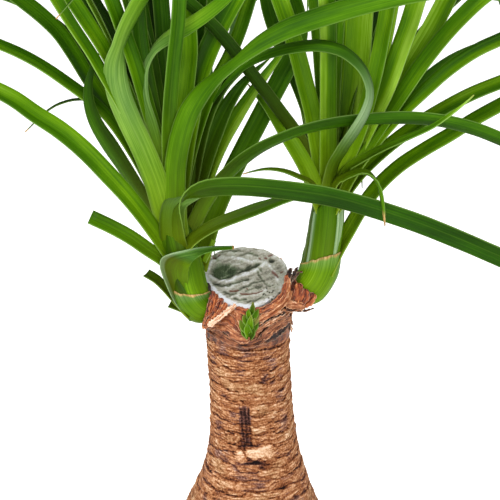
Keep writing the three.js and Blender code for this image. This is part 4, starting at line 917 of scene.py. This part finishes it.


# Dried wound sealant over wood: chalky grey skin, puckered, damp and dark green in its hollow, with painted highlight
# on its ridges and painted shade in its furrows and pits
def sealFinish():
    material, tree, place, damp, wear, chalk, peach = newMaterial("chalkyWoundSeal", place="Object", damp="Fac",
                                                                  wear="Fac", chalk="Fac", peach="Fac")
    # chalk grains of 1 mm and blotches of 4 mm
    grain = addNode(tree, "TexNoise", dict(Vector=place, Scale=1000.0, Detail=4.0, Roughness=0.7))
    blotch = addNode(tree, "TexNoise", dict(Vector=place, Scale=250.0, Detail=4.0, Roughness=0.65))
    level = addNode(tree, "Math", [chalk, 0.50, 0.50], operation="MULTIPLY_ADD")
    level = stirred(tree, level, (grain, 0.35), (blotch, 0.40))
    grey = addNode(tree, "ValToRGB", [level], stops=((0.02, 0.18, 0.34, 0.50, 0.70, 0.92),
                                                     "1b1b13 484739 787568 9e9b8c c0beb5 e3e4ea"))
    mossAndShade = addNode(tree, "ValToRGB", [level], stops=((0.00, 0.20, 0.40, 0.62, 0.88),
                                                     "141c0e 2e3d22 4f5f3f 82906f c3ccb5"))
    colour = coated(tree, grey, (damp, mossAndShade), (peach, "d9a98c"), (wear, 0.9, "5e2a14"))
    rough = addNode(tree, "Math", [damp, -0.25, 0.82], operation="MULTIPLY_ADD")
    relief = addNode(tree, "Math", [grain, blotch], operation="ADD")
    return surfaced(material, colour, rough, (relief, 0.45, 0.0006))


def buildSeal():
    bm = bmesh.new()
    layers = numberLayers(bm, "damp", "wear", "chalk", "peach")
    upSlope = cutNormal.cross(toRight)
    foot = -cut["thick"] * 1000 + 0.3
    face, inward, kept = seal["faceShare"], seal["inward"], seal["kept"]
    for vert, side, share in openSheet(bm, seal["columns"], seal["rows"]):
        angle = side * math.pi
        widest = sealEdge(angle) + 0.35 * rollingRound(angle, 4, 1) + 0.3 * rollingRound(angle, 12, 2)
        fall = clamped((share - face) / (1 - face))
        reach = widest * kept * min(share / face, 1)
        height, *marks = sealAt(reach * math.cos(angle), reach * math.sin(angle))
        if fall:
            height = mixed(height, foot, clamped(fall / inward))
            if fall < inward:
                reach = widest * (kept + (1 - kept) * clamped(fall * 6))
            else:
                reach = widest * mixed(1, 0, (fall - inward) / (1 - inward)) ** 0.8
        vert.co = cut["centre"] + (toRight * (reach * math.cos(angle)) + upSlope * (reach * math.sin(angle))
                                   + cutNormal * height) / 1000
        for layer, value in zip(layers, marks):
            vert[layer] = value
    bmesh.ops.remove_doubles(bm, verts=bm.verts, dist=2e-5)
    piece = finishedPiece("sealedSawCut", bm, [sealFinish()])
    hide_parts("cut_seal")


buildSeal()
print("seal built")

# Torn strips of dead leaf base: width in mm, tone, rust, lift in mm off the surface, crumple and route. A stop has
# its spot (across, down) in the photograph: with two numbers it lies on the trunk's surface, with a third it stands
# that many mm toward the camera. The strips at the back are placed at random. A few near-black strips are painted
# shade, laid in hollows and creases.
collar = dict(thick=0.0004, crumple=0.9, across=12, step=0.0008, fewest=14, torn=0.0011, curl=0.0011, columns=200,
              rows=70, topReach=0.0262, inward=0.86, backStrips=34, backStops=5, strips=dict(
    underBand=(4.5, 0.34, 0.3, 0.5, 1, [(210, 330), (219, 334), (231, 341), (245, 344), (258, 341), (268, 333)]),
    # painted shade: a dark strip laid in the hollow low at the right
    hollowShadeStrip=(7, 0.1, 0, 0.3, 1, [(258, 341), (268, 336), (276, 332), (284, 324), (289, 316)]),
    leftSheet=(7, 0.54, 0.55, 1, 1, [(209, 323), (218, 324), (228, 328), (238, 335), (250, 338)]),
    leftSheetTop=(5, 0.48, 0.8, 1.7, 1, [(219, 319), (228, 318), (236, 324), (242, 332)]),
    bentFold=(4, 0.58, 0.7, 2, 1, [(230, 312), (236, 313), (239, 320), (242, 330)]),
    behindBud=(6.5, 0.5, 0.9, 1.2, 1, [(236, 309), (244, 315), (252, 322), (262, 322)]),
    aboveBud=(4, 0.44, 1, 1.6, 1, [(236, 308), (244, 311), (252, 312), (262, 309)]),
    # painted shade: a near-black strip laid in the crease under the right bands
    creaseShadeStrip=(2.2, -0.1, 0.1, 1.5, 1, [(256, 327), (264, 320), (274, 315), (284, 312)]),
    rightBand=(4.6, 0.66, 0.45, 1.8, 1, [(256, 331), (265, 323), (277, 316), (290, 309)]),
    rightBandLow=(5, 0.46, 0.3, 1.3, 1, [(262, 338), (272, 329), (282, 322), (290, 317)]),
    rightBandTop=(4.2, 0.62, 0.7, 2.1, 1, [(257, 320), (266, 315), (277, 308), (287, 298), (290, 290)]),
    rimBand=(3.4, 0.42, 1, 2, 1, [(254, 311), (266, 308), (276, 301), (282, 293), (285, 283), (285, 275)]),
    rimBand2=(3.2, 0.6, 0.8, 2.4, 1, [(262, 312), (273, 306), (282, 298), (287, 288), (287, 278)]),
    wedgeLeft1=(3.4, 0.28, 1, 2, 1.3, [(204, 326, 5), (208.5, 314, 8), (211, 302, 10), (213.5, 291, 11)]),
    wedgeLeft2=(3.8, 0.46, 1, 2, 1.3, [(204, 326, 6), (210.5, 315, 10), (214.5, 303, 12), (217, 294, 12)]),
    wedgeLeft3=(3.8, 0.32, 1, 2, 1.3, [(205, 326, 7), (213, 316, 12), (219, 306, 13.5), (222, 298, 13)]),
    wedgeLeft4=(3.6, 0.5, 1, 2, 1.3, [(206, 326, 8), (215, 318, 13), (222, 310, 14.5), (226.5, 303, 14.5)]),
    creamFold=(3, 0.86, 0.25, 2, 0.3, [(208, 326, 11), (216, 320, 14), (225, 313, 16.5), (236, 304.5, 17)]),
    tipFold=(3.4, 0.6, 0.95, 2, 1, [(202, 326, 3), (207, 326, 8), (213, 323, 12)]),
    wedgeRight1=(4.4, 0.26, 1, 2, 1.3, [(288, 303, 2), (292, 292, -1), (294, 278, -3)]),
    wedgeRight2=(5.4, 0.46, 1, 2, 1.3, [(293, 305, 1), (298, 294, 0), (299, 283, -1)]),
    wedgeRight3=(5.4, 0.34, 1, 2, 1.3, [(297, 306, 0), (304, 298, 0.5), (306, 289, 0)]),
    wedgeRight4=(4.8, 0.5, 1, 2, 1.3, [(301, 307, -1), (309, 301, 0), (315, 294, -1)]),
    lump=(5, 0.66, 0.45, 2, 1.6, [(286, 304, 4), (295, 305, 2), (305, 306.5, 0)]),
    lumpLow=(3, 0.3, 0.5, 2, 1, [(286, 309, 3), (294, 309, 1.5), (302, 308.5, 0)]),
    # painted shade: a near-black strip laid in the hollow at the left
    leftHollowShadeStrip=(4, -0.15, 0.2, 2, 0.4, [(206, 283, 2), (208, 290, 4), (207.5, 298, 6)]),
    hair=(0.9, 0.05, 0.2, 2, 0.3, [(290, 310, 2), (302, 311, 1), (314, 308.5, 0)]),
    tuft1=(2.6, 0.02, 0.3, 2, 1, [(284, 288, 3), (288, 278, 1), (291, 268, -2)]),
    tuft2=(2, -0.05, 0.3, 2, 1, [(287, 286, 2), (293, 276, 0), (298, 267, -2)]),
    tuft3=(1.4, 0.1, 0.3, 2, 1, [(290, 282, 1), (297, 275, 0), (302, 271, -1)]),
))


# The place on a tube round the trunk, lift mm off its surface, that shows at a spot of the photograph
def onTrunk(across, down, lift):
    near = 10.0
    for _ in range(6):
        scale = sight["pixel"] * (sight["distance"] - near / 1000) / sight["distance"] * 1000
        x = sight["target"].x * 1000 + (across - sight["middle"]) * scale
        high = (sight["middle"] - down) * scale
        height = sight["target"].z * 1000 + near * math.sin(sight["rise"]) + high * math.cos(sight["rise"])
        offset, radius = trunkAt(height)
        y = -math.sqrt(max((radius + lift) ** 2 - (x - offset) ** 2, 0))
        near = (high * math.sin(sight["rise"]) - y) / math.cos(sight["rise"])
    return Vector((x, y, height)) / 1000, Vector((x - offset, y, 0)).normalized()


# A stop is a place and the way out from the plant there
def addStrip(bm, layers, stops, wide, tone, rust, crumple, seed):
    plan, tint, bloom = layers
    points, outwards = zip(*stops)
    last = len(points) - 1
    long = sum((points[i + 1] - points[i]).length for i in range(last))
    for vert, side, share in openSheet(bm, collar["across"], max(int(long / collar["step"]), collar["fewest"])):
        place, along = curvePoint(points, share * last)
        up = curvePoint(outwards, share * last)[0].normalized()
        sideways = along.cross(up).normalized()
        end = math.sqrt(clamped(share / 0.12)) * math.sqrt(clamped((1 - share) / 0.16))
        width = wide * (0.35 + 0.65 * end) * (1 + 0.22 * rolling(seed, share * long * 160, 2))
        torn = collar["torn"] * rolling(share * long * 900, seed, side) * abs(side)
        ridge = 1 - 2.4 * abs(rolling(side * 1.4 + seed, share * long * 130 + side * 1.6, 4))
        fine = rolling(side * 5 + seed, share * long * 320 - side * 3, 6)
        curl = collar["curl"] * max(side, 0) ** 2
        lift = crumple * collar["crumple"] / 1000 * (0.75 * ridge + 0.4 * fine) + curl
        hug = -0.5 * (side * width / 2) ** 2 / 0.030 * abs(along.z)
        vert.co = place + sideways * (side * width / 2 + torn) + up * (lift + hug)
        vert[plan] = (share * long + seed, side * width / 2 + seed, seed)
        # painted highlight and shade: the tone is lighter on the crests of the crumples and darker in their folds
        vert[tint] = (clamped(tone + 0.30 * ridge + 0.30 * fine - 0.14), 0.5 + 0.5 * share, abs(side), rust)


# Stops of a strip somewhere round the back
def backStops(i):
    half = random.uniform(16, 34)
    middle = math.radians(90 + random.uniform(half - 98, 98 - half))
    half = math.radians(half)
    limit = cutHeight(0, collar["topReach"] * math.sin(middle), cut["thick"])
    base, tilt = random.uniform(354, max(limit - 9, 356)), random.uniform(-5, 5)
    stops = []
    for k in range(collar["backStops"]):
        swing = k * 2 / (collar["backStops"] - 1) - 1
        angle, height = middle + half * swing, base + tilt * swing
        offset, radius = trunkAt(height)
        outward = Vector((math.cos(angle), math.sin(angle), 0))
        stops.append((Vector((offset, 0, height)) / 1000 + outward * ((radius + 0.6 + 0.02 * i) / 1000), outward))
    return stops


# Dead leaf bases, thin as paper and crumpled: tan to rust orange with brown fibres, pale torn margins, and the
# painted shade of their folds, which comes in with each strip's tone
def makePaperFinish():
    material, tree, plan, tint = newMaterial("paperyDryScale", plan="Vector", tint="Color")
    tone, _, side = addNode(tree, "SeparateColor", [tint]).node.outputs
    # fibres 0.7 mm apart run along each strip
    fibrePlan = addNode(tree, "Mapping", dict(Vector=plan, Scale=(110, 1500, 1)))
    fibres = addNode(tree, "TexNoise", dict(Vector=fibrePlan, Scale=1.0, Detail=3.0, Roughness=0.6))
    blotch = addNode(tree, "TexNoise", dict(Vector=plan, Scale=420.0, Detail=3.0))
    level = stirred(tree, tone, (fibres, 0.8), (blotch, 0.8))
    levels = (0.05, 0.22, 0.42, 0.60, 0.80, 0.97)
    tan, rust = (addNode(tree, "ValToRGB", [level], stops=(levels, tones)) for tones in (
        "1a0a04 482410 794626 9c673f c2906b ecd0ba", "1e0701 4c1904 7c330a 9b4b18 b76e36 dca878"))
    colour = coated(tree, tan, (tint.node.outputs["Alpha"], rust), (side, 0.86, 1.0, 0.25, "e3bf9c"))
    relief = addNode(tree, "Math", [fibres, blotch], operation="ADD")
    return surfaced(material, colour, 0.6, (relief, 0.7, 0.0007))


def buildCollar():
    paperFinish = makePaperFinish()
    sleeve = bmesh.new()
    plan, tint, bloom = layersOf(sleeve)
    for vert, side, share in openSheet(sleeve, collar["columns"], collar["rows"]):
        angle = side * math.pi - math.pi / 2
        top = cutHeight(0, math.sin(angle) * collar["topReach"], cut["thick"])
        inner = clamped((share - collar["inward"]) / (1 - collar["inward"]))
        height = mixed(trunk["collarFoot"] - 0.5, top, clamped(share / collar["inward"])) - 3 * inner
        offset, radius = trunkAt(height)
        rumple = 1 - 2.2 * abs(rollingRound(angle, 4, height / 7))
        reach = radius - 0.2 + 0.8 * rumple - 2.2 * clamped(inner * 3)
        vert.co = Vector((offset + reach * math.cos(angle), reach * math.sin(angle), height)) / 1000
        vert[plan] = (angle * 0.025, height / 1000, 3)
        # painted highlight and shade: the sleeve is paler where it bulges out and darker in its dips
        vert[tint] = (0.26 + 0.25 * rumple, 0.3, 0.3, 0.3 + 0.4 * share)
    bmesh.ops.remove_doubles(sleeve, verts=sleeve.verts, dist=1e-6)
    piece = finishedPiece("collarSleeve", sleeve, [paperFinish])
    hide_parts("dry_scales")
    bm = bmesh.new()
    layers = layersOf(bm)
    for i, (wide, tone, rust, lift, crumple, route) in enumerate(collar["strips"].values()):
        stops = [onTrunk(*stop, lift) if len(stop) == 2 else (spot(*stop), toViewer) for stop in route]
        addStrip(bm, layers, stops, wide / 1000, tone, rust, crumple, i * 2.3)
    for i in range(collar["backStrips"]):
        stops = backStops(i)
        wide, tone, rust = (random.uniform(*ends) for ends in ((0.0055, 0.0085), (0.35, 0.8), (0, 0.6)))
        addStrip(bm, layers, stops, wide, tone, rust, 1.0, 70 + i * 1.9)
    scalesPiece = finishedPiece("paperyScales", bm, [paperFinish], collar["thick"])
    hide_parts("dry_scales")


buildCollar()
print("dry leaf bases built")

# Front bud: a bract has its width in mm and its route
bud = dict(route=[(249, 334, 10), (248, 328, 14), (249, 320, 14), (251, 312, 12)], radii=[2.4, 3.6, 2.6, 0.8],
           gutter=0.3, bracts=dict(
    top=(2.6, [(251, 316, 16, 10), (252.5, 309, 18), (253, 302, 18)]),
    upRight=(2.6, [(251, 321, 17, 10), (255.5, 315, 18), (258.5, 309, 17)]),
    upLeft=(2.4, [(250, 320, 17, 10), (248.5, 314, 18), (248.5, 308.5, 17)]),
    midRight=(2.8, [(250, 326, 17, 10), (255.5, 321, 18), (259, 315, 17)]),
    midLeft=(2.8, [(250, 326, 17, 10), (245, 320, 18), (244, 314, 17)]),
    middle=(3.2, [(250, 330, 17, 10), (250, 323, 19), (251.5, 315, 19)]),
    lowRight=(3.0, [(250, 332, 16, 10), (255, 327, 18), (258, 321, 17)]),
    lowLeft=(3.2, [(249, 333, 16, 10), (243, 327, 18), (240, 320, 17)]),
    belly=(3.6, [(249, 335, 16, 10), (247.5, 330, 19), (247, 323, 19)]),
    foot=(3.0, [(250, 337, 14, 10), (252.5, 333, 18), (254.5, 327, 18)]),
    footLeft=(2.6, [(248, 337, 14, 10), (244, 333, 17), (241, 327, 17)])))


def buildBud():
    core = bmesh.new()
    addShootCore(core, bud)
    corePiece = finishedPiece("budCore", core, [leafUnder])
    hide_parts("front_bud")
    bm = bmesh.new()
    layers = layersOf(bm)
    for i, (wide, route) in enumerate(bud["bracts"].values()):
        tone = 0.36 + 0.14 * (i % 3)
        addBlade(bm, layers, follow(route), wide / 1000, tone, 90 + i, gutter=bud["gutter"], pale=0.1)
    bractsPiece = finishedPiece("budBracts", bm, leafFinish, blade["thick"])
    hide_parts("front_bud")


buildBud()
print("bud built")

# Pot, in mm
pot = dict(height=185, baseRadius=65, bandFoot=150, bandFootRadius=93, band=6, topRadius=102.5, wall=8, floor=10,
           edge=2.5, sides=144, wallSteps=24, bandSteps=6, drainRadius=7, drainReach=35, drains=3, drillSides=32,
           bevel=1.1, bevelFrom=math.radians(35))


# The radius of the pot's inside at a height
def potBore(height):
    return pot["baseRadius"] + (pot["bandFootRadius"] - pot["baseRadius"]) / pot["bandFoot"] * height - pot["wall"]


# From the middle of the foot, out and up the wall and the band, over the rim and down the inside
def potProfile():
    edge, steps, bandSteps = pot["edge"], pot["wallSteps"], pot["bandSteps"]
    bandTop = pot["bandFootRadius"] + pot["band"]
    outside = [(mixed(pot["baseRadius"], pot["bandFootRadius"], i / steps), mixed(edge, pot["bandFoot"], i / steps))
               for i in range(steps + 1)]
    band = [(mixed(bandTop, pot["topRadius"], i / bandSteps),
             mixed(pot["bandFoot"] + edge / 2, pot["height"] - edge, i / bandSteps)) for i in range(bandSteps + 1)]
    depths = [mixed(pot["height"] - edge, pot["floor"] + 3, i / steps) for i in range(steps + 1)]
    return [(0.0, 0), (pot["baseRadius"] - edge, 0), *outside, (bandTop - edge / 2, pot["bandFoot"]), *band,
            (pot["topRadius"] - edge, pot["height"]), (potBore(pot["height"]) + edge, pot["height"]),
            *[(potBore(z), z) for z in depths], (potBore(pot["floor"]) - 3, pot["floor"]), (0.0, pot["floor"])]


# Terracotta, thrown and fired unglazed: matt orange clay with fine grit, a pale lime bloom, and darker towards the
# foot
def clayFinish():
    material, tree, place = newMaterial("firedClay", place="Object")
    # grit of 1 mm, patches of lime 60 mm across and the throwing lines round the pot
    grit = addNode(tree, "TexNoise", dict(Vector=place, Scale=1100.0, Detail=3.0, Roughness=0.7))
    bloom = addNode(tree, "TexNoise", dict(Vector=place, Scale=17.0, Detail=6.0, Roughness=0.65))
    ringPlan = addNode(tree, "Mapping", dict(Vector=place, Scale=(4, 4, 380)))
    rings = addNode(tree, "TexNoise", dict(Vector=ringPlan, Scale=1.0, Detail=2.0))
    clay = addNode(tree, "ValToRGB", [stirred(tree, 0.5, (grit, 0.5), (rings, 0.5))],
                   stops=((0.2, 0.45, 0.6, 0.85), "9a5230 b4673f c0744a d29069"))
    high = addNode(tree, "SeparateXYZ", [place], 2)
    colour = coated(tree, clay, (bloom, 0.52, 0.75, 0.45, "ddc0aa"), (high, 0.05, 0.0, 0.35, "7c452c"))
    relief = addNode(tree, "Math", [grit, rings], operation="ADD")
    return surfaced(material, colour, 0.86, (relief, 0.35, 0.0006))


def buildPot():
    bm = bmesh.new()
    verts = [bm.verts.new((x / 1000, 0, z / 1000)) for x, z in potProfile()]
    edges = [bm.edges.new(pair) for pair in zip(verts, verts[1:])]
    bmesh.ops.spin(bm, geom=verts + edges, cent=(0, 0, 0), axis=(0, 0, 1), angle=2 * math.pi, steps=pot["sides"],
                   use_merge=True)
    bmesh.ops.remove_doubles(bm, verts=bm.verts, dist=1e-6)
    for vert in bm.verts:
        angle, z = math.atan2(vert.co.y, vert.co.x), vert.co.z * 1000
        if 1 < z < pot["height"] - 3:
            # faint throwing lines, 2.6 mm apart, on a wall that isn't quite true
            wobble = 0.12 * math.sin(z * 2.4) + 0.3 * rollingRound(angle, 1, z / 60)
            vert.co.xy *= 1 - wobble * 0.001 / 0.09
    piece = finishedPiece("clayPot", bm, [clayFinish()])
    for i in range(pot["drains"]):
        angle = i / pot["drains"] * 2 * math.pi
        drill = bmesh.new()
        radius = pot["drainRadius"] / 1000
        bmesh.ops.create_cone(drill, cap_ends=True, segments=pot["drillSides"], radius1=radius, radius2=radius,
                              depth=0.06)
        bmesh.ops.translate(drill, verts=drill.verts,
                            vec=Vector((math.cos(angle), math.sin(angle), 0)) * (pot["drainReach"] / 1000))
        bit = newObject("drill", drill)
        hole = piece.modifiers.new("hole", "BOOLEAN")
        hole.operation, hole.object, hole.solver = "DIFFERENCE", bit, "EXACT"
        piece.data = bpy.data.meshes.new_from_object(piece.evaluated_get(bpy.context.evaluated_depsgraph_get()))
        piece.modifiers.clear()
        bpy.data.objects.remove(bit)
    softened = piece.modifiers.new("softened", "BEVEL")
    softened.width, softened.segments = pot["bevel"] / 1000, 3
    softened.limit_method, softened.angle_limit = "ANGLE", pot["bevelFrom"]
    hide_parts("pot")


buildPot()
print("pot built")

# Soil, in mm. The sheet's face and then its side take up these shares of its rows.
soil = dict(top=161, mound=3, columns=160, rows=70, face=0.72, side=0.92, gap=0.3, hole=48, stones=420, chips=260,
            scattered=61.5)


def soilHeight(x, y):
    grain = ((1.5, 14, 3), (0.9, 5, 6), (0.5, 2.2, 8))
    return (soil["top"] + soil["mound"] * (1 - math.hypot(x, y) / 87)
            + sum(gain * rolling(x / wide, y / wide, layer) for gain, wide, layer in grain))


# Free-draining potting soil: dark damp peat with pale grit and bits of bark
def soilFinish():
    material, tree, place, kind = newMaterial("grittyPottingSoil", place="Object", kind="Fac")
    crumbs = addNode(tree, "TexNoise", dict(Vector=place, Scale=520.0, Detail=5.0, Roughness=0.75))  # about 2 mm
    peat = addNode(tree, "ValToRGB", [crumbs], stops=((0.3, 0.5, 0.65, 0.85), "1d130c 3a2a1e 57402d 7a6149"))
    sort = addNode(tree, "Math", [kind, 0.5], operation="SUBTRACT")
    speck = addNode(tree, "Math", [crumbs, 0.6, sort], operation="MULTIPLY_ADD")
    stone = addNode(tree, "ValToRGB", [speck], stops=((0.1, 0.35, 0.6, 0.85), "6a5140 8d7a66 b4a896 d8d2c6"))
    return surfaced(material, coated(tree, peat, (kind, 0.1, 0.3, 1.0, stone)), 0.93, (crumbs, 0.9, 0.0014))


def buildSoil():
    bm = bmesh.new()
    [kind] = numberLayers(bm, "kind")
    gap, face, side = soil["gap"], soil["face"], soil["side"]
    widest = potBore(soil["top"]) - gap
    foot = pot["floor"] + gap
    for vert, turn, share in openSheet(bm, soil["columns"], soil["rows"]):
        angle = turn * math.pi
        if share < face:
            reach = widest * share / face
            z = soil["top"] - 4
            if reach > soil["hole"]:
                z = soilHeight(reach * math.cos(angle), reach * math.sin(angle))
        elif share < side:
            edge = soilHeight(widest * math.cos(angle), widest * math.sin(angle))
            z = mixed(edge, foot, (share - face) / (side - face))
            reach = min(widest, potBore(z) - gap)
        else:
            z, reach = foot, (potBore(foot) - gap) * (1 - (share - side) / (1 - side))
        vert.co = Vector((reach * math.cos(angle), reach * math.sin(angle), z)) / 1000
    bmesh.ops.remove_doubles(bm, verts=bm.verts, dist=1e-5)
    for i in range(soil["stones"] + soil["chips"]):
        isStone = i < soil["stones"]
        angle = random.uniform(0, 2 * math.pi)
        reach = math.sqrt(random.uniform(soil["scattered"] ** 2, (widest - 2.6) ** 2))
        x, y = reach * math.cos(angle), reach * math.sin(angle)
        size = random.uniform(1.0, 2.6) if isStone else random.uniform(0.8, 2.2)
        turn = Matrix.Rotation(random.uniform(0, 6), 4, "Z") @ Matrix.Rotation(random.uniform(-0.6, 0.6), 4, "X")
        sizes = [size / 1000 * share for share in (1, random.uniform(0.6, 1), random.uniform(0.45, 0.8))]
        place = Matrix.Translation(Vector((x, y, soilHeight(x, y) + 0.25 * size)) / 1000)
        matrix = place @ turn @ Matrix.Diagonal((*sizes, 1))
        for vert in bmesh.ops.create_icosphere(bm, subdivisions=1, radius=1, matrix=matrix)["verts"]:
            vert[kind] = 0.6 + 0.4 * random.random() if isStone else 0.25
    piece = finishedPiece("grittySoil", bm, [soilFinish()])
    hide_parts("soil")


buildSoil()
print("soil built")

# Studio
studio = dict(floorSize=9.0, glow=0.62, room=0.45)
# place, size, power and the spot that it is aimed at
lamps = dict(overhead=((-0.9, -1.2, 2.6), 1.6, 62, (0, 0, 0.45)), front=((0.7, -3.2, 1.0), 1.6, 40, (0, 0, 0.4)),
             right=((2.4, 0.5, 1.6), 1.4, 22, (0, 0, 0.45)), left=((-2.6, 0.6, 1.4), 1.4, 18, (0, 0, 0.45)))


# Matt white background paper, with a trace of its pulp, lit from behind as in a light tent
def paperGround():
    material, tree, place = newMaterial("whiteStudioPaper", place="Object")
    pulp = addNode(tree, "TexNoise", dict(Vector=place, Scale=260.0, Detail=2.0))
    white = addNode(tree, "ValToRGB", [pulp], stops=((0.2, 0.8), "f6f6f4 fdfdfc"))
    return surfaced(material, white, 0.95, Specular_IOR_Level=0.1, Emission_Color="fdfdfc",
                    Emission_Strength=studio["glow"])


def buildStudio():
    bm = bmesh.new()
    for vert in bmesh.ops.create_grid(bm, x_segments=8, y_segments=8, size=studio["floorSize"])["verts"]:
        vert.co.z = -0.0005
    floor = newObject("paperFloor", bm)
    floor.data.materials.append(paperGround())
    for name, (place, size, power, aim) in lamps.items():
        light = bpy.data.lights.new(name, "AREA")
        light.size, light.energy = size, power
        holder = newObject(name, light)
        holder.location = place
        holder.rotation_euler = (Vector(aim) - Vector(place)).to_track_quat("-Z", "Y").to_euler()
    world = bpy.data.worlds.new("paleRoom")
    world.use_nodes = True
    fill(world.node_tree, world.node_tree.nodes["Background"], dict(Color="f7f8fa", Strength=studio["room"]))
    bpy.context.scene.world = world
    bpy.context.scene.view_settings.view_transform = "Standard"


def placeCamera():
    lens = bpy.data.cameras.new("studioCamera")
    lens.lens, lens.sensor_width, lens.clip_end = sight["lens"], sight["sensor"], sight["farthest"]
    camera = newObject("studioCamera", lens)
    camera.location = sight["target"] + toViewer * sight["distance"]
    camera.rotation_euler = (math.radians(90) - sight["rise"], 0, 0)
    bpy.context.scene.camera = camera


buildStudio()
placeCamera()
print("studio and camera placed")
